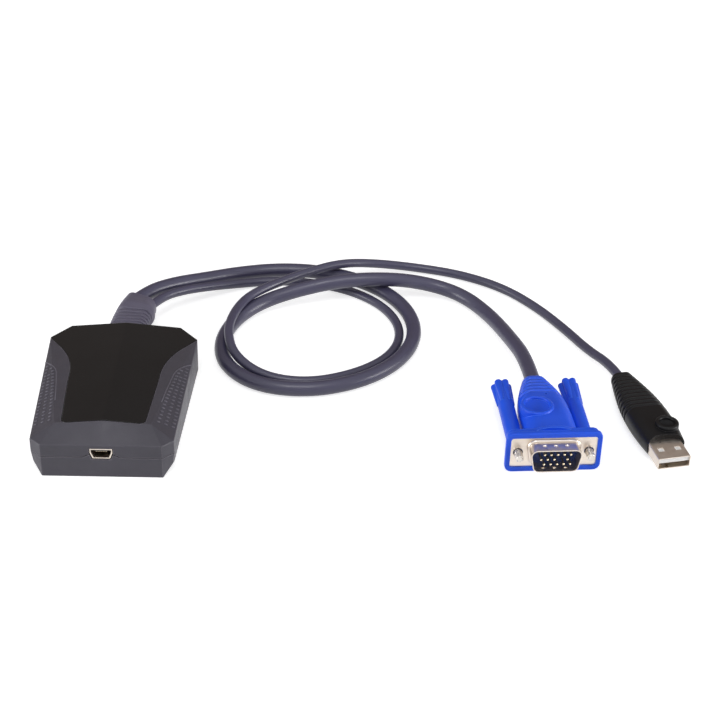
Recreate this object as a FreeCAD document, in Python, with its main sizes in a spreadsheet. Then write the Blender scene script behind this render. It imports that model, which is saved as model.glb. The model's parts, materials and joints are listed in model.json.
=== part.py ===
import FreeCAD, Part
import math
import os
import re
import Sketcher

# Crash cart adapter: a small two-shell case with a console port in front and a
# two-cable strain relief behind, a video lead and a computer lead, laid on a table.
# Millimetres. Origin: middle of the case's base. +Y to the cable end, +Z up.

Vector = FreeCAD.Vector
Placement = FreeCAD.Placement
Rotation = FreeCAD.Rotation
UP = Vector(0, 0, 1)
BACK = Vector(0, 1, 0)
ACROSS = Vector(1, 0, 0)
HERE = Placement()

# Driving dimensions

SIZES = [
    ("case_length", 77.0, "case, front face to rear face"),
    ("nose_half_width", 20.8, "half width of the front face"),
    ("front_half_width", 24.7, "half width behind the front corners"),
    ("rear_half_width", 27.5, "half width at the widest place"),
    ("tail_half_width", 20.6, "half width of the rear face"),
    ("front_corner", 3.6, "depth of the front corner cut"),
    ("rear_corner", 8.0, "depth of the rear corner cut"),
    ("base_lean", 1.2, "how far the side walls lean in at the base in front"),
    ("rear_base_lean", 0.0, "how far the side walls lean in at the base behind"),
    ("end_lean", 0.4, "how far the rear wall leans in at the base"),
    ("corner_undercut", 5.2, "how far back the front corners are cut away at the base"),
    ("corner_rise", 3.8, "height of that cut on the side walls"),
    ("parting_height", 8.1, "height of the joint between the shells"),
    ("eave_height", 13.2, "height of the walls"),
    ("ridge_front_height", 18.3, "height of the roof ridge in front"),
    ("ridge_rear_height", 15.4, "height of the roof ridge behind"),
    ("roof_front", 8.1, "front face to the front end of the ridge"),
    ("crease_half_width", 16.6, "half width of the roof planes in front"),
    ("slope_lean", 0.3, "inward shift of the front slope for each millimetre of wall"),
    ("corner_lean", 0.7, "inward shift of the corner cuts for each millimetre of wall"),
    ("wall", 2.0, "wall of both shells"),
    ("edge_round", 0.35, "rounding of the outer edges"),
    ("lip_inset", 1.05, "outer face to the lower shell's lip"),
    ("lip_height", 1.4, "height of the lip above the joint"),
    ("lip_gap", 0.1, "clearance outside the lip"),
    ("seam_gap", 0.22, "open line between the shells"),
    ("tab_height", 1.1, "height of the raised tab at the port"),
    ("tab_half_width", 6.4, "half width of the tab at its foot"),
    ("tab_slope", 2.0, "run of the tab's sloped ends"),
    ("panel_thick", 1.1, "glossy roof panel"),
    ("panel_gap", 0.18, "groove round the panel"),
    ("panel_front_half", 14.5, "half width of the panel in front"),
    ("panel_corner", 2.2, "rounding of the panel's front corners"),
    ("panel_waist_half", 16.2, "half width of the panel at its waist"),
    ("panel_waist_ahead", 38.0, "rear face to the panel's waist"),
    ("panel_turn_half", 18.2, "half width of the panel where it starts to flare"),
    ("panel_turn_ahead", 24.5, "rear face to where the panel starts to flare"),
    ("panel_flare_half", 21.9, "half width of the panel at the end of the bend"),
    ("panel_flare_ahead", 16.5, "rear face to the end of the bend"),
    ("post_radius", 2.6, "screw posts"),
    ("post_side", 19.4, "centre line to the screw posts"),
    ("post_front", 11.6, "front face to the front posts"),
    ("post_rear", 12.5, "rear face to the rear posts"),
    ("post_joint", 6.0, "base to where the posts meet"),
    ("screw_radius", 1.1, "case screws"),
    ("screw_clear", 0.3, "clearance round the screws in the lower posts"),
    ("screw_head_radius", 2.0, "heads of the case screws"),
    ("screw_head", 1.5, "height of the screw heads"),
    ("screw_length", 7.0, "case screws under the head"),
    ("screw_sink", 2.0, "depth of the screw pockets in the base"),
    ("board_width", 32.0, "circuit board"),
    ("board_thick", 1.6, "circuit board"),
    ("board_front", 2.6, "front face to the board's front edge"),
    ("board_rear", 14.4, "rear face to the board's rear edge"),
    ("board_height", 6.1, "base to the underside of the board"),
    ("pillar_radius", 2.2, "board pillars"),
    ("pillar_side", 12.6, "centre line to the board pillars"),
    ("pillar_front", 18.0, "front face to the front pillars"),
    ("pillar_rear", 31.0, "rear face to the rear pillars"),
    ("board_screw_radius", 0.9, "board screws"),
    ("board_screw_head_radius", 1.7, "heads of the board screws"),
    ("board_screw_head", 1.1, "height of the board screw heads"),
    ("board_screw_length", 4.6, "board screws under the head"),
    ("chip_width", 12.0, "main controller"),
    ("chip_height", 1.4, "main controller"),
    ("chip_back", 35.0, "front face to the middle of the controller"),
    ("lead_pitch", 1.0, "pitch of the controller's leads"),
    ("capture_width", 10.0, "video capture chip"),
    ("capture_height", 1.1, "video capture chip"),
    ("capture_gap", 0.6, "between the capture chip and the headers"),
    ("memory_length", 7.6, "memory chip"),
    ("memory_width", 5.2, "memory chip"),
    ("memory_height", 1.2, "memory chip"),
    ("memory_back", 14.0, "front face to the memory chip"),
    ("crystal_radius", 1.9, "crystal can"),
    ("crystal_length", 10.4, "crystal can"),
    ("crystal_height", 3.4, "crystal can"),
    ("crystal_back", 24.5, "front face to the middle of the crystal can"),
    ("small_length", 2.0, "capacitors"),
    ("small_width", 1.25, "capacitors"),
    ("small_height", 1.0, "capacitors"),
    ("header_length", 5.0, "cable headers, front to back"),
    ("header_height", 4.2, "cable headers"),
    ("video_header_width", 15.0, "video cable header"),
    ("computer_header_width", 8.0, "computer cable header"),
    ("header_gap", 1.0, "between the two headers"),
    ("inner_video_radius", 2.0, "video cable inside the case"),
    ("inner_computer_radius", 1.2, "computer cable inside the case"),
    ("port_width", 7.7, "console port, width of the metal shell"),
    ("port_foot_width", 6.0, "console port, width at its bottom"),
    ("port_height", 3.9, "console port, height of the metal shell"),
    ("port_step", 2.2, "height above which the port's sides stand upright"),
    ("port_depth", 9.2, "console port, front to back"),
    ("port_skin", 0.35, "console port, sheet thickness"),
    ("port_gap", 0.3, "clearance round the port in the case"),
    ("port_setback", 0.3, "front face to the port's mouth"),
    ("port_tongue_thick", 0.9, "console port tongue"),
    ("port_tongue_width", 4.4, "console port tongue"),
    ("port_tongue_length", 5.4, "console port tongue"),
    ("port_contact_pitch", 0.8, "console port contacts"),
    ("contact_skin", 0.15, "sheet of all flat contacts"),
    ("moulded_corner", 0.44, "corners of moulded forms, share of their thickness"),
    ("relief_height", 8.1, "base to the middle of the strain relief"),
    ("relief_neck_width", 14.8, "strain relief where it bends"),
    ("relief_neck_thick", 9.3, "strain relief where it bends"),
    ("relief_neck_start", 4.65, "rear face to the first groove"),
    ("relief_neck_side", -0.6, "middle of the relief at the case, to the right of the case's"),
    ("relief_collar_width", 14.9, "strain relief collar"),
    ("relief_collar_thick", 10.0, "strain relief collar"),
    ("relief_collar_start", 19.0, "rear face to the collar"),
    ("relief_collar_end", 22.5, "rear face to where the collar narrows"),
    ("relief_end_width", 13.6, "strain relief at the cables"),
    ("relief_end_thick", 8.9, "strain relief at the cables"),
    ("relief_length", 26.0, "rear face to the middle of the cable face"),
    ("relief_end_side", 2.6, "middle of the cable face, to the right of the case's"),
    ("relief_skin", 0.9, "relief beside each cable"),
    ("relief_lean", 26.0, "turn of the strain relief to the right, degrees"),
    ("relief_groove", 1.3, "width of the relief's grooves"),
    ("relief_groove_depth", 0.9, "depth of the relief's grooves"),
    ("relief_pitch", 2.45, "pitch of the relief's grooves"),
    ("relief_waist_cut", 1.5, "depth of the waist that the case wall grips"),
    ("relief_fit", 0.05, "clearance of the waist in the case wall"),
    ("relief_flange", 2.0, "thickness of the relief's inner flange"),
    ("video_cord_radius", 2.85, "video cable"),
    ("computer_cord_radius", 1.8, "computer cable"),
    ("video_axis_height", 8.05, "table to the video plug's axis"),
    ("video_flange_width", 33.8, "video plug flange"),
    ("video_flange_thick", 1.1, "video plug front frame, rim excluded"),
    ("video_flange_round", 2.6, "corners of the flange"),
    ("video_rim_proud", 0.5, "flange rim in front of the metal plate"),
    ("video_band_inset", 0.65, "step from the front frame to the band behind it"),
    ("video_band_thick", 2.5, "band behind the front frame"),
    ("video_arch_radius", 16.0, "arched top in the middle of the band"),
    ("video_arch_rise", 1.3, "arched top above the band"),
    ("video_arch_thick", 1.3, "arched top, front to back"),
    ("video_hood_width", 18.9, "video plug body"),
    ("video_hood_side", 0.6, "middle of the body in front, to the right of the plug's"),
    ("video_tail_side", -0.1, "middle of the body at the cable, to the right of the plug's"),
    ("video_hood_thick", 13.6, "video plug body"),
    ("video_hood_length", 42.4, "plate face to the cable end of the body"),
    ("video_tail_width", 9.0, "video plug body at the cable"),
    ("video_tail_thick", 7.6, "video plug body at the cable"),
    ("video_groove", 1.5, "width of the body's grooves"),
    ("video_groove_depth", 0.5, "depth of the body's grooves"),
    ("video_groove_pitch", 2.7, "pitch of the body's grooves"),
    ("video_groove_start", 28.4, "plate face to the first groove"),
    ("video_ring_radius", 5.2, "finger ring on the video plug"),
    ("video_ring_side", 3.3, "centre line to the finger ring"),
    ("video_ring_back", 18.5, "plate face to the finger ring"),
    ("video_ring_rim", 0.75, "half thickness of the ring's rim"),
    ("vent_radius", 0.45, "moulding hole in the body"),
    ("vent_side", 1.3, "centre line to the moulding hole"),
    ("vent_back", 26.8, "plate face to the moulding hole"),
    ("vent_depth", 1.2, "depth of the moulding hole"),
    ("ring_dish", 1.1, "depth of the hollow in a finger ring"),
    ("video_plate_width", 30.4, "metal plate"),
    ("video_plate_height", 12.2, "metal plate"),
    ("video_plate_round", 1.0, "corners of the metal plate"),
    ("video_plate_thick", 0.9, "metal plate"),
    ("back_shell_thick", 1.0, "rear half of the metal shell"),
    ("video_screw_side", 12.5, "centre line to the thumbscrews"),
    ("shell_width", 18.6, "outside of the 15-pin shell, wide side, before its corners are rounded"),
    ("shell_height", 9.2, "outside of the 15-pin shell"),
    ("shell_lean", 10.0, "lean of the shell's sides, degrees"),
    ("shell_round", 2.4, "corners of the 15-pin shell"),
    ("shell_skin", 0.4, "15-pin shell, sheet thickness"),
    ("shell_length", 5.9, "15-pin shell in front of the plate"),
    ("shell_step", 0.8, "drawn step round the foot of the shell, outwards"),
    ("shell_step_length", 1.1, "drawn step in front of the plate"),
    ("dimple_radius", 1.0, "spring dimples of the shell"),
    ("dimple_depth", 0.35, "spring dimples of the shell"),
    ("dimple_pitch", 3.9, "spring dimples of the shell"),
    ("dimple_front", 3.2, "plate face to the dimples"),
    ("insulator_back", 6.2, "insulator behind the plate"),
    ("insulator_face", 0.6, "insulator face in front of the plate"),
    ("pin_radius", 0.38, "contact pins"),
    ("pin_pitch", 2.29, "contact pins along a row"),
    ("pin_row", 1.98, "rows of contact pins"),
    ("pin_reach", 5.1, "pins in front of the plate"),
    ("thread_radius", 1.42, "thumbscrew thread"),
    ("stem_radius", 1.25, "thumbscrew behind its thread"),
    ("thumb_fit", 0.08, "running clearance of the thumbscrews"),
    ("thumb_tip", 4.4, "screw tip in front of the plate"),
    ("thread_end", 0.1, "end of the thread in front of the plate"),
    ("thumb_core", 14.0, "screw length inside the sleeve"),
    ("thumb_shank_radius", 2.95, "thumbscrew sleeve"),
    ("thumb_end", 41.0, "plate face to the end of the thumbscrew"),
    ("thumb_head_start", 29.0, "plate face to the start of the lobes"),
    ("thumb_gap", 0.3, "thumbscrew behind the band"),
    ("lobe_circle", 2.5, "axis to the lobes of the thumbscrew head"),
    ("lobe_radius", 0.8, "lobes in front"),
    ("lobe_flare", 2.6, "flare of the lobes to the rear, degrees"),
    ("computer_axis_height", 4.57, "table to the computer plug's axis"),
    ("usb_width", 12.0, "computer plug, metal shell"),
    ("usb_height", 4.5, "computer plug, metal shell"),
    ("usb_skin", 0.35, "computer plug, sheet thickness"),
    ("usb_round", 0.5, "computer plug, corners of the metal shell"),
    ("usb_length", 18.5, "computer plug, length of the metal shell"),
    ("usb_window", 2.2, "windows in the metal shell"),
    ("usb_window_side", 3.1, "centre line to the windows"),
    ("usb_window_back", 5.2, "mouth to the middle of the windows"),
    ("usb_tongue_thick", 1.84, "computer plug tongue"),
    ("usb_tongue_setback", 0.4, "mouth to the tongue"),
    ("usb_contact_pitch", 2.3, "computer plug contacts"),
    ("usb_contact_width", 1.0, "computer plug contacts"),
    ("usb_contact_length", 7.4, "computer plug contacts"),
    ("boot_front", 9.3, "mouth to the front of the boot"),
    ("boot_end", 54.0, "mouth to the end of the boot"),
    ("boot_front_width", 13.8, "boot in front"),
    ("boot_front_thick", 8.3, "boot in front"),
    ("boot_width", 16.0, "boot at its widest"),
    ("boot_thick", 9.14, "boot at its widest"),
    ("boot_end_width", 7.9, "boot at the cable"),
    ("boot_end_thick", 6.0, "boot at the cable"),
    ("boot_scoop", 1.8, "depth of the boot's hollow front edge"),
    ("boot_groove", 1.4, "width of the boot's grooves"),
    ("boot_groove_depth", 0.6, "depth of the boot's grooves"),
    ("boot_groove_pitch", 2.45, "pitch of the boot's grooves"),
    ("boot_groove_start", 29.0, "mouth to the first groove"),
    ("boot_side", 0.6, "middle of the boot in front to the right of the metal shell's"),
    ("boot_tail_side", 0.2, "middle of the boot's cable end to the right of the metal shell's"),
    ("boot_ring_radius", 3.5, "finger ring on the boot"),
    ("boot_ring_side", 3.2, "centre line to the finger ring"),
    ("boot_ring_back", 16.6, "mouth to the finger ring"),
    ("boot_ring_rim", 0.8, "half thickness of the ring's rim"),
    ("boot_ring_lift", 0.4, "ring's rim above the boot"),
]

# Where the plugs lie, and the cables' routes

VIDEO_PLUG = (156.0, -30.0)
VIDEO_TURN = 4.0
COMPUTER_PLUG = (198.5, -30.5)
COMPUTER_TURN = 12.5

VIDEO_ROUTE = [
    (3.4, 73.0, 8.1), (12.4, 82.0, 7.0), (27.0, 91.4, 4.8), (39.0, 99.6, 2.9),
    (54.5, 103.3, 2.86), (71.5, 102.6, 2.86), (88.0, 96.4, 2.86), (101.5, 84.5, 2.86),
    (109.6, 68.5, 2.86), (110.6, 50.5, 2.86), (103.5, 33.5, 2.86), (89.5, 20.2, 2.86),
    (70.5, 13.2, 2.86), (51.0, 15.8, 2.86), (38.3, 28.0, 2.86), (34.7, 44.2, 2.86),
    (38.6, 61.2, 2.86), (48.0, 74.0, 3.6), (61.5, 80.2, 8.2), (81.5, 85.2, 13.7),
    (102.5, 88.0, 13.7), (118.0, 91.4, 7.0), (131.0, 85.6, 3.0), (140.6, 70.9, 2.9),
    (147.2, 49.2, 5.6), (151.75, 29.25, 8.05),
]

COMPUTER_ROUTE = [
    (9.4, 69.0, 8.1), (17.6, 77.2, 6.8), (29.6, 85.4, 4.8), (40.5, 92.5, 2.1),
    (54.5, 95.9, 1.82), (70.5, 94.6, 1.82), (86.0, 88.5, 1.82), (98.0, 77.5, 1.82),
    (104.4, 63.5, 1.82), (104.4, 49.3, 1.82), (98.4, 36.4, 1.82), (86.2, 26.2, 1.82),
    (69.5, 19.9, 1.82), (54.0, 23.0, 2.4), (42.6, 32.4, 6.6), (38.9, 45.5, 10.2),
    (39.1, 59.0, 10.2), (44.0, 72.6, 9.6), (54.0, 84.0, 9.4), (66.5, 93.4, 10.2),
    (80.0, 102.4, 9.0), (95.0, 109.3, 3.2), (113.0, 109.9, 1.82), (131.0, 104.6, 1.82),
    (148.0, 94.4, 1.82), (160.5, 79.6, 1.82), (170.8, 62.5, 2.0), (178.6, 45.8, 3.6),
    (184.33, 34.37, 4.57),
]

doc = FreeCAD.newDocument("crash_cart_adapter")
sheet = doc.addObject("Spreadsheet::Sheet", "Sizes")
for row, (alias, number, note) in enumerate(SIZES, 1):
    sheet.set(f"A{row}", note)
    sheet.set(f"B{row}", str(number))
    sheet.setAlias(f"B{row}", alias)
doc.recompute()

ALIASES = {alias for alias, number, note in SIZES}
PARTS = []


def size(alias):
    """A driving dimension, read from the sheet."""
    return float(sheet.get(alias))


def bind(item, prop, formula):
    """Ties a property to the sheet; a formula names the sheet's cells by their aliases."""
    def cell(word):
        return f"Sizes.{word.group()}" if word.group() in ALIASES else word.group()

    item.setExpression(prop, re.sub("[a-z_]+", cell, formula))


def keep(item, label):
    """Marks an object as a sub-part; its label names the file."""
    item.Label = label
    PARTS.append(item)
    return item


def shape_part(label, shape, placement=HERE):
    """A sub-part whose form is set directly."""
    item = doc.addObject("Part::Feature", label)
    item.Shape = shape
    item.Placement = placement
    return keep(item, label)


def box(name, extents, corner):
    """A block: three extents and the place of its lowest corner, bound to the sheet."""
    item = doc.addObject("Part::Box", name)
    for prop, formula in zip(("Length", "Width", "Height"), extents):
        bind(item, prop, formula)
    for axis, formula in zip("xyz", corner):
        bind(item, f"Placement.Base.{axis}", formula)
    return item


def rod(name, radius, height, foot, turn=Rotation()):
    """A cylinder on its foot, turned about it, bound to the sheet."""
    item = doc.addObject("Part::Cylinder", name)
    item.Placement = Placement(Vector(), turn)
    bind(item, "Radius", radius)
    bind(item, "Height", height)
    for axis, formula in zip("xyz", foot):
        bind(item, f"Placement.Base.{axis}", formula)
    return item


def fuse(label, items, placement=HERE):
    """One sub-part made of blocks and rods that join."""
    item = doc.addObject("Part::MultiFuse", label)
    item.Shapes = items
    item.Refine = True
    item.Placement = placement
    return keep(item, label)


def group(label, items, placement=HERE):
    """Like pieces that share one node, as separate solids."""
    item = doc.addObject("Part::Compound", label)
    item.Links = items
    item.Placement = placement
    return keep(item, label)


# Bodies with sketches


def new_body(label, placement=HERE):
    body = doc.addObject("PartDesign::Body", label)
    body.Placement = placement
    return keep(body, label)


def sketch_on(body, name, lift="0"):
    """A sketch on the body's own XY plane, lifted along its normal."""
    sketch = body.newObject("Sketcher::SketchObject", name)
    plane = next(item for item in body.Origin.OriginFeatures if item.Role == "XY_Plane")
    sketch.AttachmentSupport = [(plane, "")]
    sketch.MapMode = "FlatFace"
    bind(sketch, "AttachmentOffset.Base.z", lift)
    return sketch


def hold(sketch, constraints):
    """Adds constraints whose values are bound to the sheet."""
    for kind, ends, start, formula in constraints:
        index = sketch.addConstraint(Sketcher.Constraint(kind, *ends, start))
        bind(sketch, f"Constraints[{index}]", formula)


def draw_rectangle(sketch, width, height, corner):
    """A rectangle with its sizes and its lower left corner bound to the sheet."""
    first = sketch.GeometryCount
    corners = [Vector(9, 9), Vector(11, 9), Vector(11, 11), Vector(9, 11)]
    for here, there in zip(corners, corners[1:] + corners[:1]):
        sketch.addGeometry(Part.LineSegment(here, there), False)
    for step, direction in enumerate(("Horizontal", "Vertical", "Horizontal", "Vertical")):
        after = first + (step + 1) % 4
        sketch.addConstraint(Sketcher.Constraint("Coincident", first + step, 2, after, 1))
        sketch.addConstraint(Sketcher.Constraint(direction, first + step))
    hold(sketch, [
        ("DistanceX", (first, 1, first, 2), 2.0, width),
        ("DistanceY", (first + 1, 1, first + 1, 2), 2.0, height),
        ("DistanceX", (-1, 1, first, 1), 9.0, corner[0]),
        ("DistanceY", (-1, 1, first, 1), 9.0, corner[1]),
    ])


def draw_circle(sketch, radius, middle=("0", "0")):
    """A circle with its radius and place bound to the sheet."""
    index = sketch.addGeometry(Part.Circle(Vector(9, 9), UP, 1), False)
    hold(sketch, [
        ("Radius", (index,), 1.0, radius),
        ("DistanceX", (-1, 1, index, 3), 9.0, middle[0]),
        ("DistanceY", (-1, 1, index, 3), 9.0, middle[1]),
    ])


def pad(body, sketch, length, name):
    """Raises a sketch along its normal."""
    feature = body.newObject("PartDesign::Pad", name)
    feature.Profile = sketch
    bind(feature, "Length", length)
    return feature


def pocket(body, sketch, length, name):
    """Cuts a sketch into the body, against its normal."""
    feature = body.newObject("PartDesign::Pocket", name)
    feature.Profile = sketch
    bind(feature, "Length", length)
    return feature


# Plain shapes


def face_through(points):
    return Part.Face(Part.makePolygon(points + points[:1]))


def slab(low, high, reach=400.0):
    """Everything between two heights."""
    return Part.makeBox(reach, reach, high - low, Vector(-reach / 2, -reach / 2, low))


def y_rod(radius, front, rear, side=0.0, height=0.0):
    """A cylinder along Y."""
    return Part.makeCylinder(radius, rear - front, Vector(side, front, height), BACK)


def rounded_wire(width, height, corner, y=0.0):
    """A rounded rectangle in the XZ plane."""
    half, rise = width / 2, height / 2
    near, turn = 1 - math.sqrt(0.5), corner
    arcs = []
    for right, top in ((1, 1), (-1, 1), (-1, -1), (1, -1)):
        side = Vector(right * half, y, top * (rise - turn))
        middle = Vector(right * (half - turn * near), y, top * (rise - turn * near))
        head = Vector(right * (half - turn), y, top * rise)
        ends = (side, middle, head) if right == top else (head, middle, side)
        arcs.append(Part.Arc(*ends).toShape())
    edges = []
    for here, there in zip(arcs, arcs[1:] + arcs[:1]):
        edges.append(here)
        edges.append(Part.makeLine(here.lastVertex().Point, there.firstVertex().Point))
    return Part.Wire(edges)


def rounded_bar(width, height, corner, front, rear):
    """A rounded rectangle drawn out along Y."""
    return Part.Face(rounded_wire(width, height, corner, front)).extrude(BACK * (rear - front))


def groove_marks(first, pitch, count, groove, depth):
    """Places along Y where a moulded form steps in at its grooves and out again."""
    steep = groove / 3
    marks = []
    for step in range(count):
        start = first + step * pitch
        marks.append((start, 0.0))
        marks.append((start + steep, depth))
        marks.append((start + groove - steep, depth))
        marks.append((start + groove, 0.0))
    return marks


def plain_marks(start, end, steps):
    """Even places along Y between two ends."""
    return [(start + (end - start) * step / steps, 0.0) for step in range(steps + 1)]


def curve_through(stations, pick):
    """A smooth curve through two values of each station; its parameter is the place along Y."""
    curve = Part.BSplineCurve()
    points = [Vector(station[0], *pick(station)) for station in stations]
    curve.interpolate(Points=points, Parameters=[station[0] for station in stations])
    return curve


def moulding(stations, marks):
    """A rounded form through stations: place along Y, side, lean in degrees, width, thickness."""
    middles = curve_through(stations, lambda station: station[1:3])
    girths = curve_through(stations, lambda station: station[3:5])
    wires = []
    for y, inset in marks:
        side, lean = middles.value(y)[1:3]
        width, thick = girths.value(y)[1:3]
        thick -= 2 * inset
        wire = rounded_wire(width - 2 * inset, thick, thick * size("moulded_corner"))
        wire.Placement = Placement(Vector(side, y, 0), Rotation(UP, -lean))
        wires.append(wire)
    return Part.makeLoft(wires, True, True)


def finger_ring(radius, rim, place):
    """A raised rim on a low foot, and the shallow hollow inside the rim."""
    dish = size("ring_dish")
    foot = Part.makeCylinder(radius + rim, 3 * rim, place - UP * (3 * rim))
    ball = (radius * radius + dish * dish) / (2 * dish)
    inside = Part.makeCylinder(radius, 2 * dish + rim, place - UP * (2 * dish))
    hollow = Part.makeSphere(ball, place + UP * (ball - dish)).common(inside)
    return foot.cut(hollow).fuse(Part.makeTorus(radius, rim, place)), hollow


# Case


def front_face():
    return -size("case_length") / 2


def wall_outline(shrink, foot=0.0):
    """The case from above, right half from front to back: an octagon with the left half.

    The foot is 1 at the base, where the walls lean in, and 0 from the joint upwards.
    """
    front = front_face() + shrink
    cut = shrink * size("corner_lean")
    end = foot * size("end_lean")
    rear = -front_face() - shrink - end
    front_side = size("front_half_width") - shrink - foot * size("base_lean")
    rear_side = size("rear_half_width") - shrink - foot * size("rear_base_lean")
    return [
        (size("nose_half_width") - cut, front),
        (front_side, front + size("front_corner")),
        (rear_side, rear - size("rear_corner")),
        (size("tail_half_width") - cut - end, rear),
    ]


def ring_at(half, height):
    """A half outline closed by its mirror image, at one height."""
    points = [Vector(x, y, height) for x, y in half]
    points += [Vector(-x, y, height) for x, y in reversed(half)]
    return Part.makePolygon(points + points[:1])


def wall_block(shrink):
    """The walls as one block, from the base to the eave."""
    low = ring_at(wall_outline(shrink, 1.0), shrink)
    middle = ring_at(wall_outline(shrink), size("parting_height"))
    high = ring_at(wall_outline(shrink), size("eave_height") - shrink)
    lower = Part.makeLoft([low, middle], True, True)
    upper = Part.makeLoft([middle, high], True, True)
    return lower.fuse(upper)


def roof_block(shrink):
    """The roof as one block on the eave: panel planes, side facets, hips, front slope."""
    eave = size("eave_height") - shrink
    nose, front, rear, tail = [Vector(x, y, eave) for x, y in wall_outline(shrink)]
    start = front_face() + size("roof_front") + shrink * size("slope_lean")
    run = tail.y - start
    top = size("ridge_front_height") - shrink
    drop = size("ridge_front_height") - size("ridge_rear_height")
    fall = (top - drop * (rear.y - start) / run - eave) / rear.x

    def on_roof(x, y):
        return Vector(x, y, top - drop * (y - start) / run - fall * abs(x))

    peak, end = on_roof(0, start), on_roof(0, tail.y)
    crease = on_roof(size("crease_half_width") - shrink * size("slope_lean"), start)
    corner = on_roof(tail.x, tail.y)
    lip = Vector(0, nose.y, eave)
    half = [
        face_through([peak, crease, rear, corner, end]),
        face_through([crease, front, rear]),
        face_through([crease, nose, front]),
        face_through([rear, tail, corner]),
        face_through([tail, corner, end, Vector(0, tail.y, eave)]),
        face_through([lip, nose, front, rear, tail, Vector(0, tail.y, eave)]),
        Part.makeRuledSurface(Part.makeLine(peak, crease), Part.makeLine(lip, nose)),
    ]
    other = [face.mirror(Vector(), ACROSS) for face in half]
    shell = Part.makeShell([face for item in half + other for face in item.Faces])
    shell.sewShape()
    return Part.makeSolid(shell)


def case_block(shrink):
    """The whole case as one block, each face moved inwards by the same wall."""
    return wall_block(shrink).fuse(roof_block(shrink)).removeSplitter().Solids[0]


def undercut_corners(block, shrink):
    """Cuts the foot of both front corners away along a slanting facet."""
    rise = size("corner_rise")
    nose, foot = wall_outline(0.0, 1.0)[:2]
    side = foot[0] + size("base_lean") * rise / size("parting_height")
    corners = [
        Vector(nose[0], nose[1]),
        Vector(foot[0], foot[1] + size("corner_undercut")),
        Vector(side, foot[1], rise),
    ]
    outward = (corners[1] - corners[0]).cross(corners[2] - corners[0]).normalize()
    middle = (corners[0] + corners[1] + corners[2]) * (1 / 3)
    wide = [middle + (corner - middle) * 9 - outward * shrink for corner in corners]
    wedge = face_through(wide).extrude(outward * size("case_length"))
    return block.cut([wedge, wedge.mirror(Vector(), ACROSS)])


def outer_block():
    """The outside of the case, with its base edges and its eaves rounded."""
    block = case_block(0.0)
    rounded = []
    for edge in block.Edges:
        ends = [vertex.Z for vertex in edge.Vertexes]
        if max(ends) < 0.01 or min(ends) > size("eave_height") - 0.01 > max(ends) - 0.02:
            rounded.append(edge)
    return undercut_corners(block.makeFillet(size("edge_round"), rounded), 0.0)


def panel_outline():
    """The roof panel from above: a vase that flares out to the rear corners."""
    front = front_face()
    half, start = size("panel_front_half"), front + size("roof_front")
    turn = size("panel_corner")
    near = turn * (1 - math.sqrt(0.5))
    waist = Vector(size("panel_waist_half"), -front - size("panel_waist_ahead"))
    flare = Vector(size("panel_flare_half"), -front - size("panel_flare_ahead"))
    through = Vector(size("panel_turn_half"), -front - size("panel_turn_ahead"))
    widest = Vector(size("rear_half_width"), -front - size("rear_corner"))
    past_corner = 1 + turn / (widest - flare).Length
    out = flare + (widest - flare) * past_corner
    far = Vector(out.x, -front + turn)
    right = [
        Part.makeLine(Vector(0, start), Vector(half - turn, start)),
        Part.Arc(Vector(half - turn, start), Vector(half - near, start + near),
                 Vector(half, start + turn)).toShape(),
        Part.makeLine(Vector(half, start + turn), waist),
        Part.Arc(waist, through, flare).toShape(),
        Part.makeLine(flare, out),
        Part.makeLine(out, far),
        Part.makeLine(far, Vector(0, far.y)),
    ]
    left = [edge.mirror(Vector(), ACROSS) for edge in right]
    return Part.Wire(Part.__sortEdges__(right + left))


def panel_column(grow):
    """The panel's outline as an upright column, grown by a clearance."""
    face = Part.Face(panel_outline())
    if grow:
        face = face.makeOffset2D(grow)
    low = size("eave_height") - size("panel_thick") - size("wall")
    face.translate(UP * low)
    return face.extrude(UP * (size("ridge_front_height") + size("wall") - low))


def under_panel(block):
    """The case block lowered by the panel's thickness."""
    lowered = block.copy()
    lowered.translate(UP * -size("panel_thick"))
    return lowered


def port_height():
    """Base to the middle of the console port, which stands on the board."""
    return size("board_height") + size("board_thick") + size("port_height") / 2


def port_wire(grow, y):
    """The console port's outline: a box whose sides turn in towards the bottom."""
    middle = port_height()
    low, high = middle - size("port_height") / 2 - grow, middle + size("port_height") / 2 + grow
    step = middle - size("port_height") / 2 + size("port_step") - grow
    half, foot = size("port_width") / 2 + grow, size("port_foot_width") / 2 + grow
    points = [
        Vector(foot, y, low), Vector(half, y, step), Vector(half, y, high),
        Vector(-half, y, high), Vector(-half, y, step), Vector(-foot, y, low),
    ]
    return Part.makePolygon(points + points[:1])


def port_bar(grow, front, rear):
    return Part.Face(port_wire(grow, front)).extrude(BACK * (rear - front))


def port_room():
    """What the case leaves free round the console port."""
    front = front_face()
    return port_bar(size("port_gap"), front - 1, front + size("port_setback") + size("port_depth"))


def tab_bar(grow):
    """The tab that lifts the joint between the shells beside the port."""
    low = size("parting_height") - size("wall") / 2
    high = size("parting_height") + size("tab_height") + grow
    foot = size("tab_half_width") + grow
    head = foot - size("tab_slope")
    y = front_face() - size("wall")
    foot_height = size("parting_height") + grow
    points = [
        Vector(foot, y, low), Vector(foot, y, foot_height), Vector(head, y, high),
        Vector(-head, y, high), Vector(-foot, y, foot_height), Vector(-foot, y, low),
    ]
    return face_through(points).extrude(BACK * (size("wall") + size("lip_inset")))


def relief_opening():
    """The hole in the rear wall that grips the strain relief."""
    cut, fit = 2 * size("relief_waist_cut"), size("relief_fit")
    width = size("relief_neck_width") - cut + 2 * fit
    thick = size("relief_neck_thick") - cut + 2 * fit
    rear = -front_face()
    front = rear - 2 * size("wall")
    hole = rounded_bar(width, thick, thick * size("moulded_corner"), front, rear + size("wall"))
    hole.translate(Vector(size("relief_neck_side"), 0, size("relief_height")))
    return hole


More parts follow.
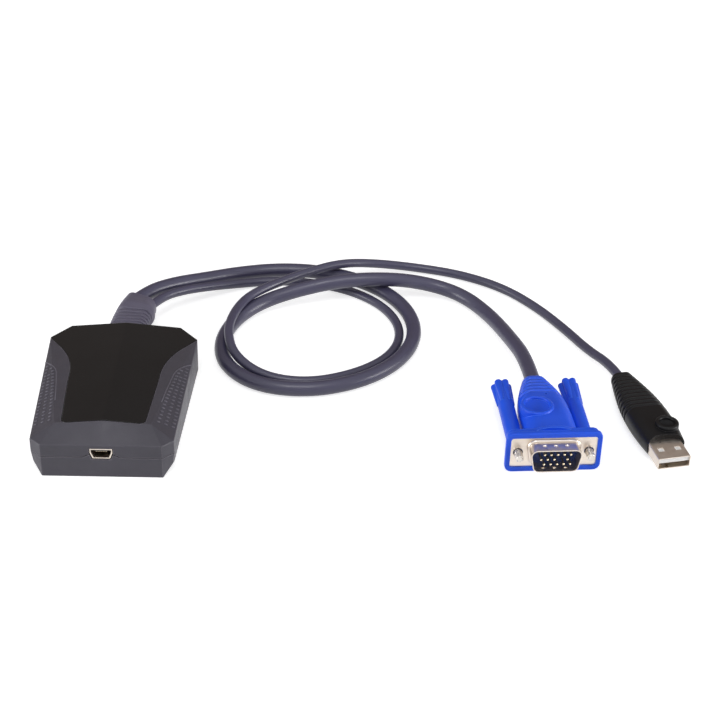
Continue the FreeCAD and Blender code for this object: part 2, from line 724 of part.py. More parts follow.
def corner_places(side, front, rear):
    """Four places, left and right, in front and behind."""
    for y in (front_face() + size(front), -front_face() - size(rear)):
        for x in (-size(side), size(side)):
            yield Vector(x, y, 0)


def upright(radius, low, high, place):
    return Part.makeCylinder(radius, high - low, Vector(place.x, place.y, low))


def lower_case(outer, cavity):
    """Base shell with a lip, screw posts, board pillars and the lower half of both openings."""
    parting = size("parting_height")
    shell = outer.cut(cavity).common(slab(-1, parting))
    lip_block = case_block(size("lip_inset")).cut(cavity)
    lip_band = slab(parting - size("wall"), parting + size("lip_height"))
    shell = shell.fuse(lip_block.common(lip_band))
    shell = shell.fuse(tab_bar(0.0).common(outer).cut(cavity))
    for place in corner_places("post_side", "post_front", "post_rear"):
        shell = shell.fuse(upright(size("post_radius"), size("wall"), size("post_joint"), place))
    for place in corner_places("pillar_side", "pillar_front", "pillar_rear"):
        shell = shell.fuse(upright(size("pillar_radius"), size("wall"), size("board_height"), place))
    for place in corner_places("post_side", "post_front", "post_rear"):
        hole = size("screw_radius") + size("screw_clear")
        shell = shell.cut(upright(hole, -1, size("post_joint") + 1, place))
        pocket_radius = size("screw_head_radius") + size("screw_clear")
        shell = shell.cut(upright(pocket_radius, -1, size("screw_sink"), place))
    for place in corner_places("pillar_side", "pillar_front", "pillar_rear"):
        low = size("board_height") + size("board_thick") - size("board_screw_length")
        shell = shell.cut(upright(size("board_screw_radius"), low, size("board_height") + 1, place))
    return shell.cut([port_room(), relief_opening()]).removeSplitter()


def upper_case(outer, cavity):
    """Roof shell with the panel's seat, screw posts and the upper half of both openings."""
    parting = size("parting_height")
    upper_band = slab(parting + size("seam_gap"), size("ridge_front_height") + 1)
    shell = outer.cut(cavity).common(upper_band)
    inside = case_block(size("lip_inset") - size("lip_gap"))
    shell = shell.cut(inside.common(slab(parting - 1, parting + size("lip_height"))))
    seat = panel_column(size("panel_gap")).cut(under_panel(outer))
    posts = []
    for place in corner_places("post_side", "post_front", "post_rear"):
        top = size("ridge_front_height")
        posts.append(upright(size("post_radius"), size("post_joint"), top, place))
    inner_posts = Part.makeCompound(posts).common(under_panel(case_block(0.0)))
    shell = shell.cut(seat).fuse(inner_posts.Solids)
    for place in corner_places("post_side", "post_front", "post_rear"):
        high = size("screw_sink") + size("screw_length")
        shell = shell.cut(upright(size("screw_radius"), size("post_joint") - 1, high, place))
    shell = shell.cut(tab_bar(size("seam_gap")))
    return shell.cut([port_room(), relief_opening()]).removeSplitter()


def make_case():
    outer = outer_block()
    cavity = undercut_corners(case_block(size("wall")), size("wall"))
    shape_part("lower_case", lower_case(outer, cavity))
    shape_part("upper_case", upper_case(outer, cavity))
    panel = panel_column(0.0).common(outer).cut(under_panel(outer))
    shape_part("top_panel", panel)


def make_case_screws():
    """Self-tapping screws in the base's pockets, up into the upper posts."""
    screws = []
    for place in corner_places("post_side", "post_front", "post_rear"):
        seat = size("screw_sink")
        low = seat - size("screw_head")
        head = upright(size("screw_head_radius"), low, seat, place)
        shank = upright(size("screw_radius"), seat, seat + size("screw_length"), place)
        slot = size("screw_radius") / 2
        cross = Part.makeBox(4 * slot, slot, slot, Vector(place.x - 2 * slot, place.y - slot / 2, low))
        turned = cross.copy()
        turned.rotate(Vector(place.x, place.y, low), UP, 90)
        screws.append(head.fuse(shank).cut([cross, turned]).removeSplitter())
    shape_part("case_screws", Part.makeCompound(screws))


# Circuit board and what stands on it

BOARD_TOP = "board_height + board_thick"
FRONT = "( - case_length / 2 )"
BOARD_LENGTH = "( case_length - board_front - board_rear )"
HEADER_FRONT = "( case_length / 2 - board_rear - header_length )"


def make_board():
    body = new_body("circuit_board")
    outline = sketch_on(body, "board_outline", "board_height")
    corner = ("- board_width / 2", f"{FRONT} + board_front")
    draw_rectangle(outline, "board_width", BOARD_LENGTH, corner)
    pad(body, outline, "board_thick", "board_sheet")
    holes = sketch_on(body, "board_holes", BOARD_TOP)
    for side in ("- pillar_side", "pillar_side"):
        for back in (f"{FRONT} + pillar_front", "case_length / 2 - pillar_rear"):
            draw_circle(holes, "board_screw_radius + screw_clear", (side, back))
    pocket(body, holes, "board_thick", "board_bores")


def make_board_screws():
    screws = []
    for place in corner_places("pillar_side", "pillar_front", "pillar_rear"):
        top = size("board_height") + size("board_thick")
        head = upright(size("board_screw_head_radius"), top, top + size("board_screw_head"), place)
        shank = upright(size("board_screw_radius"), top - size("board_screw_length"), top, place)
        screws.append(head.fuse(shank).removeSplitter())
    shape_part("board_screws", Part.makeCompound(screws))


def make_controller():
    """Main chip: a square body with a row of leads on each side."""
    half, middle = "chip_width / 2", f"{FRONT} + chip_back"
    pieces = [box("controller_body", ("chip_width", "chip_width", "chip_height"),
                  (f"- {half}", f"{middle} - {half}", BOARD_TOP))]
    leads = int(size("chip_width") / size("lead_pitch")) - 3
    for step in range(leads):
        along = f"( {step - (leads - 1) / 2} * lead_pitch - lead_pitch / 4 )"
        for way, start in (("low", f"- {half} - lead_pitch"), ("high", half)):
            thick = "chip_height / 2"
            pieces.append(box(f"lead_x_{way}_{step}", ("lead_pitch", "lead_pitch / 2", thick),
                              (start, f"{middle} + {along}", BOARD_TOP)))
            pieces.append(box(f"lead_y_{way}_{step}", ("lead_pitch / 2", "lead_pitch", thick),
                              (along, f"{middle} + {start}", BOARD_TOP)))
    fuse("controller_chip", pieces)


def make_small_chips():
    """Capture chip, memory chip and crystal can."""
    half = "capture_width / 2"
    capture_front = f"{HEADER_FRONT} - capture_gap - capture_width"
    chip = box("capture_chip", ("capture_width", "capture_width", "capture_height"),
               (f"- {half}", capture_front, BOARD_TOP))
    keep(chip, "capture_chip")
    memory = box("memory_chip", ("memory_width", "memory_length", "memory_height"),
                 (f"- {half} - memory_width", f"{FRONT} + memory_back", BOARD_TOP))
    keep(memory, "memory_chip")
    ends = []
    run, back = "( crystal_length - 2 * crystal_radius )", f"{FRONT} + crystal_back"
    for name, side in (("near", half), ("far", f"{half} + {run}")):
        ends.append(rod(f"crystal_{name}", "crystal_radius", "crystal_height",
                        (side, back, BOARD_TOP)))
    middle = box("crystal_middle", (run, "2 * crystal_radius", "crystal_height"),
                 (half, f"{back} - crystal_radius", BOARD_TOP))
    fuse("crystal_can", ends + [middle])


def make_capacitors():
    """Small parts in two rows beside the controller."""
    pieces = []
    extents = ("small_length", "small_width", "small_height")
    for step in range(4):
        back = f"{FRONT} + chip_back + {step - 2} * 2 * small_width"
        for way, side in (("left", "- chip_width / 2 - 2 * lead_pitch - small_length"),
                          ("right", "chip_width / 2 + 2 * lead_pitch")):
            pieces.append(box(f"capacitor_{way}_{step}", extents, (side, back, BOARD_TOP)))
    group("capacitors", pieces)


def make_headers():
    """White wire headers at the board's rear edge, and the cable ends that run to them."""
    video_side = "( - board_width / 2 + header_gap )"
    computer_side = f"{video_side} + video_header_width + header_gap"
    video = box("video_header", ("video_header_width", "header_length", "header_height"),
                (video_side, HEADER_FRONT, BOARD_TOP))
    keep(video, "video_header")
    computer = box("computer_header", ("computer_header_width", "header_length", "header_height"),
                   (computer_side, HEADER_FRONT, BOARD_TOP))
    keep(computer, "computer_header")
    turn = Rotation(ACROSS, -90)
    height = f"{BOARD_TOP} + header_height / 2"
    run = "board_rear - wall - end_lean - relief_fit - relief_flange"
    start = "case_length / 2 - board_rear"
    leads = (("video_wires", "inner_video_radius", "( - inner_video_radius - header_gap )"),
             ("computer_wires", "inner_computer_radius", f"{computer_side} + inner_computer_radius"))
    for label, radius, side in leads:
        keep(rod(label, radius, run, (side, start, height), turn), label)


# Console port


def make_port():
    """Metal shell, plastic insert with its tongue, and five contacts."""
    mouth = front_face() + size("port_setback")
    rear = mouth + size("port_depth")
    skin = size("port_skin")
    shell = port_bar(0.0, mouth, rear).cut(port_bar(-skin, mouth - 1, rear - skin))
    shape_part("port_shell", shell)
    back = rear - skin - size("port_depth") / 4
    block = port_bar(-skin, back, rear - skin)
    half = size("port_tongue_width") / 2
    low = port_height() + size("port_height") / 2 - skin - 3 * size("port_tongue_thick") / 2
    front = back - size("port_tongue_length")
    tongue = Part.makeBox(2 * half, back - front, size("port_tongue_thick"), Vector(-half, front, low))
    shape_part("port_insert", block.fuse(tongue).removeSplitter())
    contacts = []
    pitch, sheet_thick = size("port_contact_pitch"), size("contact_skin")
    for step in range(-2, 3):
        corner = Vector(step * pitch - pitch / 4, front, low - sheet_thick)
        contacts.append(Part.makeBox(pitch / 2, back - front, sheet_thick, corner))
    shape_part("port_contacts", Part.makeCompound(contacts))


# Strain relief

RELIEF_GROOVES = 5


def relief_stations():
    """Place, side, lean and size of the relief's sections."""
    rear, lean = -front_face(), size("relief_lean")
    neck, neck_thick = size("relief_neck_width"), size("relief_neck_thick")
    collar, collar_thick = size("relief_collar_width"), size("relief_collar_thick")
    end, end_thick = size("relief_end_width"), size("relief_end_thick")
    narrow, narrow_thick = (collar + end) / 2, (collar_thick + end_thick) / 2
    side, neck_end = size("relief_neck_side"), relief_neck_length()
    shift = size("relief_end_side") - side
    return [
        (rear, side, 0.0, neck, neck_thick),
        (rear + neck_end / 2, side + shift * 0.15, lean * 0.12, neck, neck_thick),
        (rear + neck_end, side + shift * 0.5, lean * 0.45, neck, neck_thick),
        (rear + size("relief_collar_start"), side + shift * 0.65, lean * 0.6, collar, collar_thick),
        (rear + size("relief_collar_end"), side + shift * 0.8, lean * 0.8, narrow, narrow_thick),
        (rear + size("relief_length"), side + shift, lean, end, end_thick),
    ]


def relief_neck_length():
    """Rear face to the end of the last groove."""
    return size("relief_neck_start") + RELIEF_GROOVES * size("relief_pitch")


def relief_exit():
    """Middle of the relief's cable face, and its direction."""
    back = -front_face() + size("relief_length")
    place = Vector(size("relief_end_side"), back, size("relief_height"))
    turn = math.radians(size("relief_lean"))
    return place, Vector(math.sin(turn), math.cos(turn), 0)


def make_relief():
    """Inner flange, waist in the case wall, grooved neck and smooth collar."""
    cut, rear = 2 * size("relief_waist_cut"), -front_face()
    start, end = rear + size("relief_fit"), rear + size("relief_length")
    first, pitch = rear + size("relief_neck_start"), size("relief_pitch")
    groove, depth = size("relief_groove"), size("relief_groove_depth")
    marks = [(start, 0.0)]
    marks += groove_marks(first, pitch, RELIEF_GROOVES, groove, depth)
    marks += plain_marks(rear + relief_neck_length(), end, 6)
    form = moulding(relief_stations(), marks)
    inside = rear - size("wall") - size("end_lean") - size("relief_fit")
    width, thick = size("relief_neck_width"), size("relief_neck_thick")
    corner = size("moulded_corner")
    waist = rounded_bar(width - cut, thick - cut, (thick - cut) * corner, inside, start)
    flange = rounded_bar(width, thick, thick * corner, inside - size("relief_flange"), inside)
    for piece in (waist, flange):
        piece.translate(ACROSS * size("relief_neck_side"))
    relief = form.fuse([waist, flange]).removeSplitter()
    shape_part("strain_relief", relief, Placement(UP * size("relief_height"), Rotation()))


# Cables


def cord_path(points):
    """Straight runs joined by tangent arcs, each as large as its two runs allow."""
    edges, radii, here = [], [], points[0]
    for before, corner, after in zip(points, points[1:], points[2:]):
        into = (corner - before).normalize()
        out = (after - corner).normalize()
        half_turn = into.getAngle(out) / 2
        reach = 0.45 * min((corner - before).Length, (after - corner).Length)
        radius = reach / math.tan(half_turn)
        start, end = corner - into * reach, corner + out * reach
        sagitta = radius / math.cos(half_turn) - radius
        inward = (out - into).normalize()
        edges.append(Part.LineSegment(here, start).toShape())
        edges.append(Part.Arc(start, corner + inward * sagitta, end).toShape())
        radii.append(round(radius, 1))
        here = end
    edges.append(Part.LineSegment(here, points[-1]).toShape())
    return Part.Wire(edges), radii


def make_cord(label, points, radius):
    """A cable's tube; its volume is compared with its section times its length."""
    path, radii = cord_path(points)
    section = Part.Wire(Part.makeCircle(radius, points[0], points[1] - points[0]))
    tube = path.makePipeShell([section], True, False)
    share = tube.Volume / (math.pi * radius * radius * path.Length)
    print(f"{label}: length {path.Length:.1f}, volume share {share:.4f}")
    print(f"{label}: smallest radius {min(radii)}, radii {radii}")
    shape_part(label, tube)


def plug_place(spot, height, turn):
    """A plug on the table: its middle in front, and its turn about the vertical."""
    return Placement(Vector(spot[0], spot[1], size(height)), Rotation(UP, turn))


def video_place():
    return plug_place(VIDEO_PLUG, "video_axis_height", VIDEO_TURN)


def computer_place():
    return plug_place(COMPUTER_PLUG, "computer_axis_height", COMPUTER_TURN)


def make_cords():
    """Both cables, from the relief's cable face to their plugs."""
    face, way = relief_exit()
    side = Vector(way.y, -way.x, 0)
    spread = size("relief_end_width") / 2 - size("relief_skin")
    video_start = face - side * (spread - size("video_cord_radius"))
    computer_start = face + side * (spread - size("computer_cord_radius"))
    video_tail = Vector(size("video_tail_side"), size("video_hood_length"), 0)
    video_end = video_place().multVec(video_tail)
    computer_tail = Vector(size("boot_tail_side"), size("boot_end"), 0)
    computer_end = computer_place().multVec(computer_tail)
    video = [video_start] + [Vector(*point) for point in VIDEO_ROUTE] + [video_end]
    computer = [computer_start] + [Vector(*point) for point in COMPUTER_ROUTE] + [computer_end]
    make_cord("video_cord", video, size("video_cord_radius"))
    make_cord("computer_cord", computer, size("computer_cord_radius"))


# Video plug, drawn about its own axis with the plate's face at zero


def d_wire(width, height, y):
    """The 15-pin outline: wide on top, leaning sides, round corners."""
    lean = height * math.tan(math.radians(size("shell_lean")))
    half, foot, rise = width / 2, width / 2 - lean, height / 2
    points = [Vector(-half, y, rise), Vector(half, y, rise), Vector(foot, y, -rise), Vector(-foot, y, -rise)]
    return Part.makePolygon(points + points[:1])


def d_bar(inset, front, rear):
    """The 15-pin outline drawn out along Y, inset by a sheet thickness."""
    width, height = size("shell_width") - 2 * inset, size("shell_height") - 2 * inset
    bar = Part.Face(d_wire(width, height, front)).extrude(BACK * (rear - front))
    long_edges = [edge for edge in bar.Edges
                  if abs(edge.tangentAt(edge.FirstParameter).y) > 0.999]
    return bar.makeFillet(size("shell_round") - inset, long_edges)


def dimples(radius, depth):
    """Balls that press the shell's spring dimples in, three above and three below."""
    lift = size("shell_height") / 2 + radius - depth
    for step in (-1, 0, 1):
        for way in (1, -1):
            spot = Vector(step * size("dimple_pitch"), -size("dimple_front"), way * lift)
            yield Part.makeSphere(radius, spot)


def thumb_bores(radius, front, rear):
    side = size("video_screw_side")
    return [y_rod(radius, front, rear, -side), y_rod(radius, front, rear, side)]


def make_video_shells():
    """Stamped front shell with its plate, and the plate of the rear shell behind it."""
    skin, plate = size("shell_skin"), size("video_plate_thick")
    width, height = size("video_plate_width"), size("video_plate_height")
    corner, mouth = size("video_plate_round"), -size("shell_length")
    face = rounded_bar(width, height, corner, 0.0, plate)
    step = d_bar(-size("shell_step"), -size("shell_step_length"), plate / 2)
    shoulder = [edge for edge in step.Edges
                if abs(edge.BoundBox.YMax + size("shell_step_length")) < 1e-6]
    step = step.makeFillet(size("shell_step") * 0.9, shoulder)
    cavity = d_bar(skin, mouth - 1, plate + 1)
    dents = [ball.common(cavity) for ball in dimples(size("dimple_radius") + skin,
                                                     size("dimple_depth") + skin)]
    front = face.fuse([step, d_bar(0.0, mouth, plate / 2)]).cut(cavity)
    front = front.fuse(dents).cut(list(dimples(size("dimple_radius"), size("dimple_depth"))))
    hole = size("thread_radius") + 4 * size("thumb_fit")
    front = front.cut(thumb_bores(hole, -1, plate + 1)).removeSplitter()
    shape_part("video_front_shell", front, video_place())
    rear_face = plate + size("back_shell_thick")
    back = rounded_bar(width, height, corner, plate, rear_face)
    back = back.cut(d_bar(skin, plate - 1, rear_face + 1)).cut(thumb_bores(hole, 0, rear_face + 1))
    shape_part("video_rear_shell", back.removeSplitter(), video_place())


def pin_places():
    """Fourteen pins in three rows of five; the fourth place of the middle row is empty."""
    pitch, row = size("pin_pitch"), size("pin_row")
    for line, shift in ((1, 0.25), (0, -0.25), (-1, 0.25)):
        for step in range(-2, 3):
            if (line, step) != (0, 1):
                yield (step + shift) * pitch, line * row


def make_video_contacts():
    """Insulator block that fills the shells, and the pins through it."""
    skin = size("shell_skin")
    block = d_bar(skin, -size("insulator_face"), size("insulator_back"))
    pins = []
    for x, z in pin_places():
        bore = y_rod(size("pin_radius"), -size("insulator_face"), size("insulator_back"), x, z)
        block = block.cut(bore)
        pin = y_rod(size("pin_radius"), -size("pin_reach"), size("insulator_back"), x, z)
        tip = [edge for edge in pin.Edges if abs(edge.CenterOfMass.y + size("pin_reach")) < 1e-6]
        pins.append(pin.makeChamfer(size("pin_radius") / 2, tip))
    shape_part("video_insulator", block, video_place())
    shape_part("video_pins", Part.makeCompound(pins), video_place())


# Share of the length, and share of the narrowing to the cable
HOOD_SHARES = ((0.0, 0.0), (0.34, 0.0), (0.53, 0.06), (0.68, 0.22), (0.83, 0.54), (1.0, 1.0))


def hood_stations():
    """Sections of the video plug's body, from the band to the cable."""
    wide, thick = size("video_hood_width"), size("video_hood_thick")
    tail, tail_thick = size("video_tail_width"), size("video_tail_thick")
    start, side = size("video_flange_thick"), size("video_hood_side")
    run, shift = size("video_hood_length") - start, size("video_tail_side") - side
    stations = []
    for along, narrow in HOOD_SHARES:
        width, height = wide + (tail - wide) * narrow, thick + (tail_thick - thick) * narrow
        stations.append((start + run * along, side + shift * along, 0.0, width, height))
    return stations


def make_hood():
    """Moulded cover: frame round the plate, band, body with a finger ring, grooved tail."""
    width, height = size("video_flange_width"), 2 * size("video_axis_height")
    corner, inset = size("video_flange_round"), size("video_band_inset")
    front, thick = -size("video_rim_proud"), size("video_flange_thick")
    band_rear = thick + size("video_band_thick")
    flange = rounded_bar(width, height, corner, front, thick)
    rim = [edge for edge in flange.Edges if abs(edge.CenterOfMass.y - front) < 1e-6]
    flange = flange.makeFillet(size("video_rim_proud") * 0.9, rim)
    band = rounded_bar(width - 2 * inset, height - 2 * inset, corner, thick, band_rear)
    radius = size("video_arch_radius")
    crown = height / 2 - inset + size("video_arch_rise")
    arch = y_rod(radius, band_rear - size("video_arch_thick"), band_rear, 0.0, crown - radius)
    upper_half = Part.makeBox(width - 2 * inset, band_rear, crown, Vector(inset - width / 2, 0, 0))
    arch = arch.common(upper_half)
    first, pitch = size("video_groove_start"), size("video_groove_pitch")
    marks = plain_marks(thick, first - pitch / 2, 9)
    marks += groove_marks(first, pitch, 5, size("video_groove"), size("video_groove_depth"))
    marks += [(size("video_hood_length"), 0.0)]
    body = moulding(hood_stations(), marks)
    top = size("video_hood_thick") / 2
    ring_place = Vector(-size("video_ring_side"), size("video_ring_back"), top)
    ring, hollow = finger_ring(size("video_ring_radius"), size("video_ring_rim"), ring_place)
    hood = flange.fuse([band, arch, body.cut(hollow), ring])
    vent = Vector(size("vent_side"), size("vent_back"), top - size("vent_depth"))
    hood = hood.cut(Part.makeCylinder(size("vent_radius"), top, vent))
    lane = size("thumb_shank_radius") + size("thumb_gap")
    hood = hood.cut(thumb_bores(lane, band_rear, size("thumb_end")))
    rear_face = size("video_plate_thick") + size("back_shell_thick")
    pocket_bar = rounded_bar(size("video_plate_width"), size("video_plate_height"),
                             size("video_plate_round"), front - 1, rear_face)
    hood = hood.cut(pocket_bar).cut(d_bar(size("shell_skin"), 0, size("insulator_back")))
    hood = hood.cut(thumb_bores(size("stem_radius") + size("thumb_fit"), 0, band_rear + 1))
    shape_part("video_hood", hood.removeSplitter(), video_place())


FRONT_VIEW = Rotation(ACROSS, 90)


def make_thumbscrew(name, side):
    """A steel screw through the flange, in a moulded sleeve whose head has six lobes."""
    place = video_place().multiply(Placement(Vector(side * size("video_screw_side"), 0, 0), FRONT_VIEW))
    start = "video_flange_thick + video_band_thick + thumb_gap"
    body = new_body(f"thumbscrew_sleeve_{name}", place)
    shank = sketch_on(body, f"shank_{name}", "- thumb_end")
    draw_circle(shank, "thumb_shank_radius")
    pad(body, shank, f"thumb_end - ( {start} )", f"shank_pad_{name}")
    lobe = sketch_on(body, f"lobe_{name}", "- thumb_head_start")
    draw_circle(lobe, "lobe_radius", ("lobe_circle", "0"))
    lobe_pad = pad(body, lobe, "thumb_end - thumb_head_start", f"lobe_pad_{name}")
    lobe_pad.Reversed = True
    bind(lobe_pad, "TaperAngle", "lobe_flare")
    ring = body.newObject("PartDesign::PolarPattern", f"lobes_{name}")
    ring.Originals = [lobe_pad]
    ring.Axis = (next(item for item in body.Origin.OriginFeatures if item.Role == "Z_Axis"), [""])
    ring.Angle = 360
    ring.Occurrences = 6
    body.Tip = ring
    doc.recompute()
    bore = sketch_on(body, f"bore_{name}", f"- ( {start} )")
    draw_circle(bore, "stem_radius")
    pocket(body, bore, "thumb_core", f"bore_cut_{name}")
    thread = rod(f"thread_{name}", "thread_radius", "thumb_tip - thread_end", ("0", "0", "thread_end"))
    stem = rod(f"stem_{name}", "stem_radius", f"thread_end + {start} + thumb_core",
               ("0", "0", f"- ( {start} ) - thumb_core"))
    whole = doc.addObject("Part::MultiFuse", f"thumbscrew_blank_{name}")
    whole.Shapes = [thread, stem]
    doc.recompute()
    tip = doc.addObject("Part::Chamfer", f"thumbscrew_steel_{name}")
    tip.Base = whole
    bevel = size("thread_radius") / 3
    front = size("thumb_tip")
    edges = enumerate(whole.Shape.Edges, 1)
    tip.Edges = [(number, bevel, bevel) for number, edge in edges if edge.BoundBox.ZMin > front - 0.01]
    tip.Placement = place
    keep(tip, f"thumbscrew_steel_{name}")


# Computer plug, drawn about its own axis with its mouth at zero


def make_usb_shell():
    """Folded metal sleeve with two windows above and two below."""
    body = new_body("usb_shell", computer_place().multiply(Placement(Vector(), FRONT_VIEW)))
    outline = sketch_on(body, "sleeve_outline", "- usb_length")
    draw_rectangle(outline, "usb_width", "usb_height", ("- usb_width / 2", "- usb_height / 2"))
    sleeve = pad(body, outline, "usb_length", "sleeve_pad")
    doc.recompute()
    length = size("usb_length")
    corners = [f"Edge{number}" for number, edge in enumerate(sleeve.Shape.Edges, 1)
               if abs(edge.Length - length) < 1e-6]
    rounded = body.newObject("PartDesign::Fillet", "sleeve_corners")
    rounded.Base = (sleeve, corners)
    bind(rounded, "Radius", "usb_round")
    inside = sketch_on(body, "sleeve_inside")
    draw_rectangle(inside, "usb_width - 2 * usb_skin", "usb_height - 2 * usb_skin",
                   ("usb_skin - usb_width / 2", "usb_skin - usb_height / 2"))
    pocket(body, inside, "usb_length", "sleeve_bore")
    windows = body.newObject("Sketcher::SketchObject", "sleeve_windows")
    plane = next(item for item in body.Origin.OriginFeatures if item.Role == "XZ_Plane")
    windows.AttachmentSupport = [(plane, "")]
    windows.MapMode = "FlatFace"
    for side in ("- usb_window_side", "usb_window_side"):
        draw_rectangle(windows, "usb_window", "usb_window",
                       (f"{side} - usb_window / 2", "- usb_window_back - usb_window / 2"))
    through = pocket(body, windows, "usb_height + 2", "window_cut")
    through.Midplane = True


def make_usb_contacts():
    """Plastic tongue in the sleeve's upper half, with four contacts under it."""
    place = computer_place()
    low = "( usb_height / 2 - usb_skin - usb_tongue_thick )"
    front = "usb_tongue_setback"
    inner = "( usb_width - 2 * usb_skin )"
    tongue = box("usb_tongue_bar", (inner, "usb_length - usb_tongue_setback", "usb_tongue_thick"),
                 (f"- {inner} / 2", front, low))
    block = box("usb_tongue_block", (inner, "usb_length / 3", "usb_height - 2 * usb_skin"),
                (f"- {inner} / 2", "usb_length * 2 / 3", "usb_skin - usb_height / 2"))
    fuse("usb_tongue", [tongue, block], place)
    contacts = []
    extents = ("usb_contact_width", "usb_contact_length", "contact_skin")
    for step in (-1.5, -0.5, 0.5, 1.5):
        side = f"{step} * usb_contact_pitch - usb_contact_width / 2"
        corner = (side, f"{front} + contact_skin * 4", f"{low} - contact_skin")
        contacts.append(box(f"usb_contact_{step}", extents, corner))
    group("usb_contacts", contacts, place)


# Share of the length, and share of the narrowing to the front and to the cable
BOOT_FRONT_SHARES = ((0.0, 1.0), (0.12, 0.4), (0.3, 0.0))
BOOT_TAIL_SHARES = ((0.5, 0.06), (0.66, 0.26), (0.83, 0.6), (1.0, 1.0))


def boot_stations():
    """Sections of the boot: widest before its middle, leaf-shaped behind."""
    front, wide, thick = size("boot_front"), size("boot_width"), size("boot_thick")
    first, first_thick = size("boot_front_width"), size("boot_front_thick")
    tail, tail_thick = size("boot_end_width"), size("boot_end_thick")
    run, side = size("boot_end") - front, size("boot_side")
    shift = size("boot_tail_side") - side
    stations = []
    for along, narrow in BOOT_FRONT_SHARES:
        width, height = wide + (first - wide) * narrow, thick + (first_thick - thick) * narrow
        stations.append((front + run * along, side + shift * along, 0.0, width, height))
    for along, narrow in BOOT_TAIL_SHARES:
        width, height = wide + (tail - wide) * narrow, thick + (tail_thick - thick) * narrow
        stations.append((front + run * along, side + shift * along, 0.0, width, height))
    return stations


def make_boot():
    """Moulded boot round the metal sleeve: finger ring in front, grooves towards the cable."""
    first, pitch = size("boot_groove_start"), size("boot_groove_pitch")
    marks = plain_marks(size("boot_front"), first - pitch / 2, 8)
    marks += groove_marks(first, pitch, 10, size("boot_groove"), size("boot_groove_depth"))
    marks += [(size("boot_end"), 0.0)]
    boot = moulding(boot_stations(), marks)
    top = size("boot_thick") / 2 + size("boot_ring_lift")
    place = Vector(size("boot_ring_side"), size("boot_ring_back"), top)
    ring, hollow = finger_ring(size("boot_ring_radius"), size("boot_ring_rim"), place)
    boot = boot.cut(hollow).fuse(ring)
    half, scoop = size("boot_front_width") / 2, size("boot_scoop")
    radius = (half * half + scoop * scoop) / (2 * scoop)
    middle = size("boot_front") + scoop - radius
    bite = Part.makeCylinder(radius, size("boot_thick"), Vector(0, middle, 0))
    width, height = size("usb_width"), size("usb_height")
    sleeve = rounded_bar(width, height, size("usb_round"), 0.0, size("usb_length"))
    boot = boot.cut(bite).cut(sleeve)
    shape_part("usb_boot", boot.removeSplitter(), computer_place())


# All sub-parts


def build():
    make_case()
    make_case_screws()
    make_board()
    make_board_screws()
    make_controller()
    make_small_chips()
    make_capacitors()
    make_headers()
    make_port()
    make_relief()
    make_cords()
    make_video_shells()
    make_video_contacts()
    make_hood()
    make_thumbscrew("left", -1)
    make_thumbscrew("right", 1)
    make_usb_shell()
    make_usb_contacts()
    make_boot()
    doc.recompute()


def check():
    """Stops if any object failed, or any sub-part is empty or broken."""
    for item in doc.Objects:
        if "Invalid" in item.State or "Error" in item.State:
            raise RuntimeError(f"{item.Label} failed: {item.State}")
    for item in PARTS:
        if item.Shape.isNull() or not item.Shape.isValid() or not item.Shape.Solids:
            raise RuntimeError(f"{item.Label} has no valid solid")
        print(f"{item.Label}: {len(item.Shape.Solids)} solid, {item.Shape.Volume:.1f} mm3")


def write():
    os.makedirs("parts", exist_ok=True)
    for item in PARTS:
        item.Shape.exportStep(f"parts/{item.Label}.step")


build()
check()
write()
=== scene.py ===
import json
import math

import bmesh
import bpy
from mathutils import Matrix, Vector


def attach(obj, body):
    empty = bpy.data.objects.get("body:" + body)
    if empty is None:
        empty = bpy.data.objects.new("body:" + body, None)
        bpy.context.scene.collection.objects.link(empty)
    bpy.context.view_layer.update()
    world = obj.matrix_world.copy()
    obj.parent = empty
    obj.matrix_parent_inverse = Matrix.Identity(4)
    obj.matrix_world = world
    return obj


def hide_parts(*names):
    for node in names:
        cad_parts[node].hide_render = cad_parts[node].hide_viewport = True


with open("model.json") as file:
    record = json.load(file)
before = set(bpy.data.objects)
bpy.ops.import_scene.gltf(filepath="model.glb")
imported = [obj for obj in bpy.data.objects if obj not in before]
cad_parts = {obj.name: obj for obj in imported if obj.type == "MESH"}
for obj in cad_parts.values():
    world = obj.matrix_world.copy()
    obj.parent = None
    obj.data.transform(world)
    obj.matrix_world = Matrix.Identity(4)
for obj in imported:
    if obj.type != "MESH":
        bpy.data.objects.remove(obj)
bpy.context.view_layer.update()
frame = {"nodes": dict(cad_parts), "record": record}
MM = 0.001
BODY = "adapter"
PLUG_TURN = math.radians(4.0)

# Materials: each one is a Principled shader with its own grain, colour drift and roughness.
# Sizes in them are in metres

NOISE_ROUGHNESS = 0.55
NOISE_LOW = 0.3
NOISE_HIGH = 0.7
FINE_DETAIL = 4.0
# Agreement of the rounded and the flat normal at which an edge takes its full painted highlight, and
# none at all
EDGE_FULL = 0.9
EDGE_NONE = 0.995
EDGE_SAMPLES = 6
# A shader's roughness varies between these shares of its own
PLASTIC_GLOSS = (0.88, 1.15)
METAL_GLOSS = (0.85, 1.2)
PLASTIC_DRIFT = 0.012
PLASTIC_SMUDGE = 0.005
METAL_DRIFT = 0.004
METAL_SPREAD = 0.05
METAL_SMUDGE = 0.0022
METAL_GRAIN = 0.0005
METAL_DEPTH = 0.0000025
THREAD_PITCH = 0.0006
THREAD_DEPTH = 0.00012
# Radians that the wave texture turns through along a metre at a scale of one
WAVE_FACTOR = 20


def new_tree(name):
    """An empty node tree with a Principled shader; helpers add to it."""
    stuff = bpy.data.materials.new(name)
    stuff.use_nodes = True
    tree = stuff.node_tree
    tree.nodes.clear()
    out = tree.nodes.new("ShaderNodeOutputMaterial")
    shader = tree.nodes.new("ShaderNodeBsdfPrincipled")
    tree.links.new(shader.outputs["BSDF"], out.inputs["Surface"])
    return stuff, tree, shader


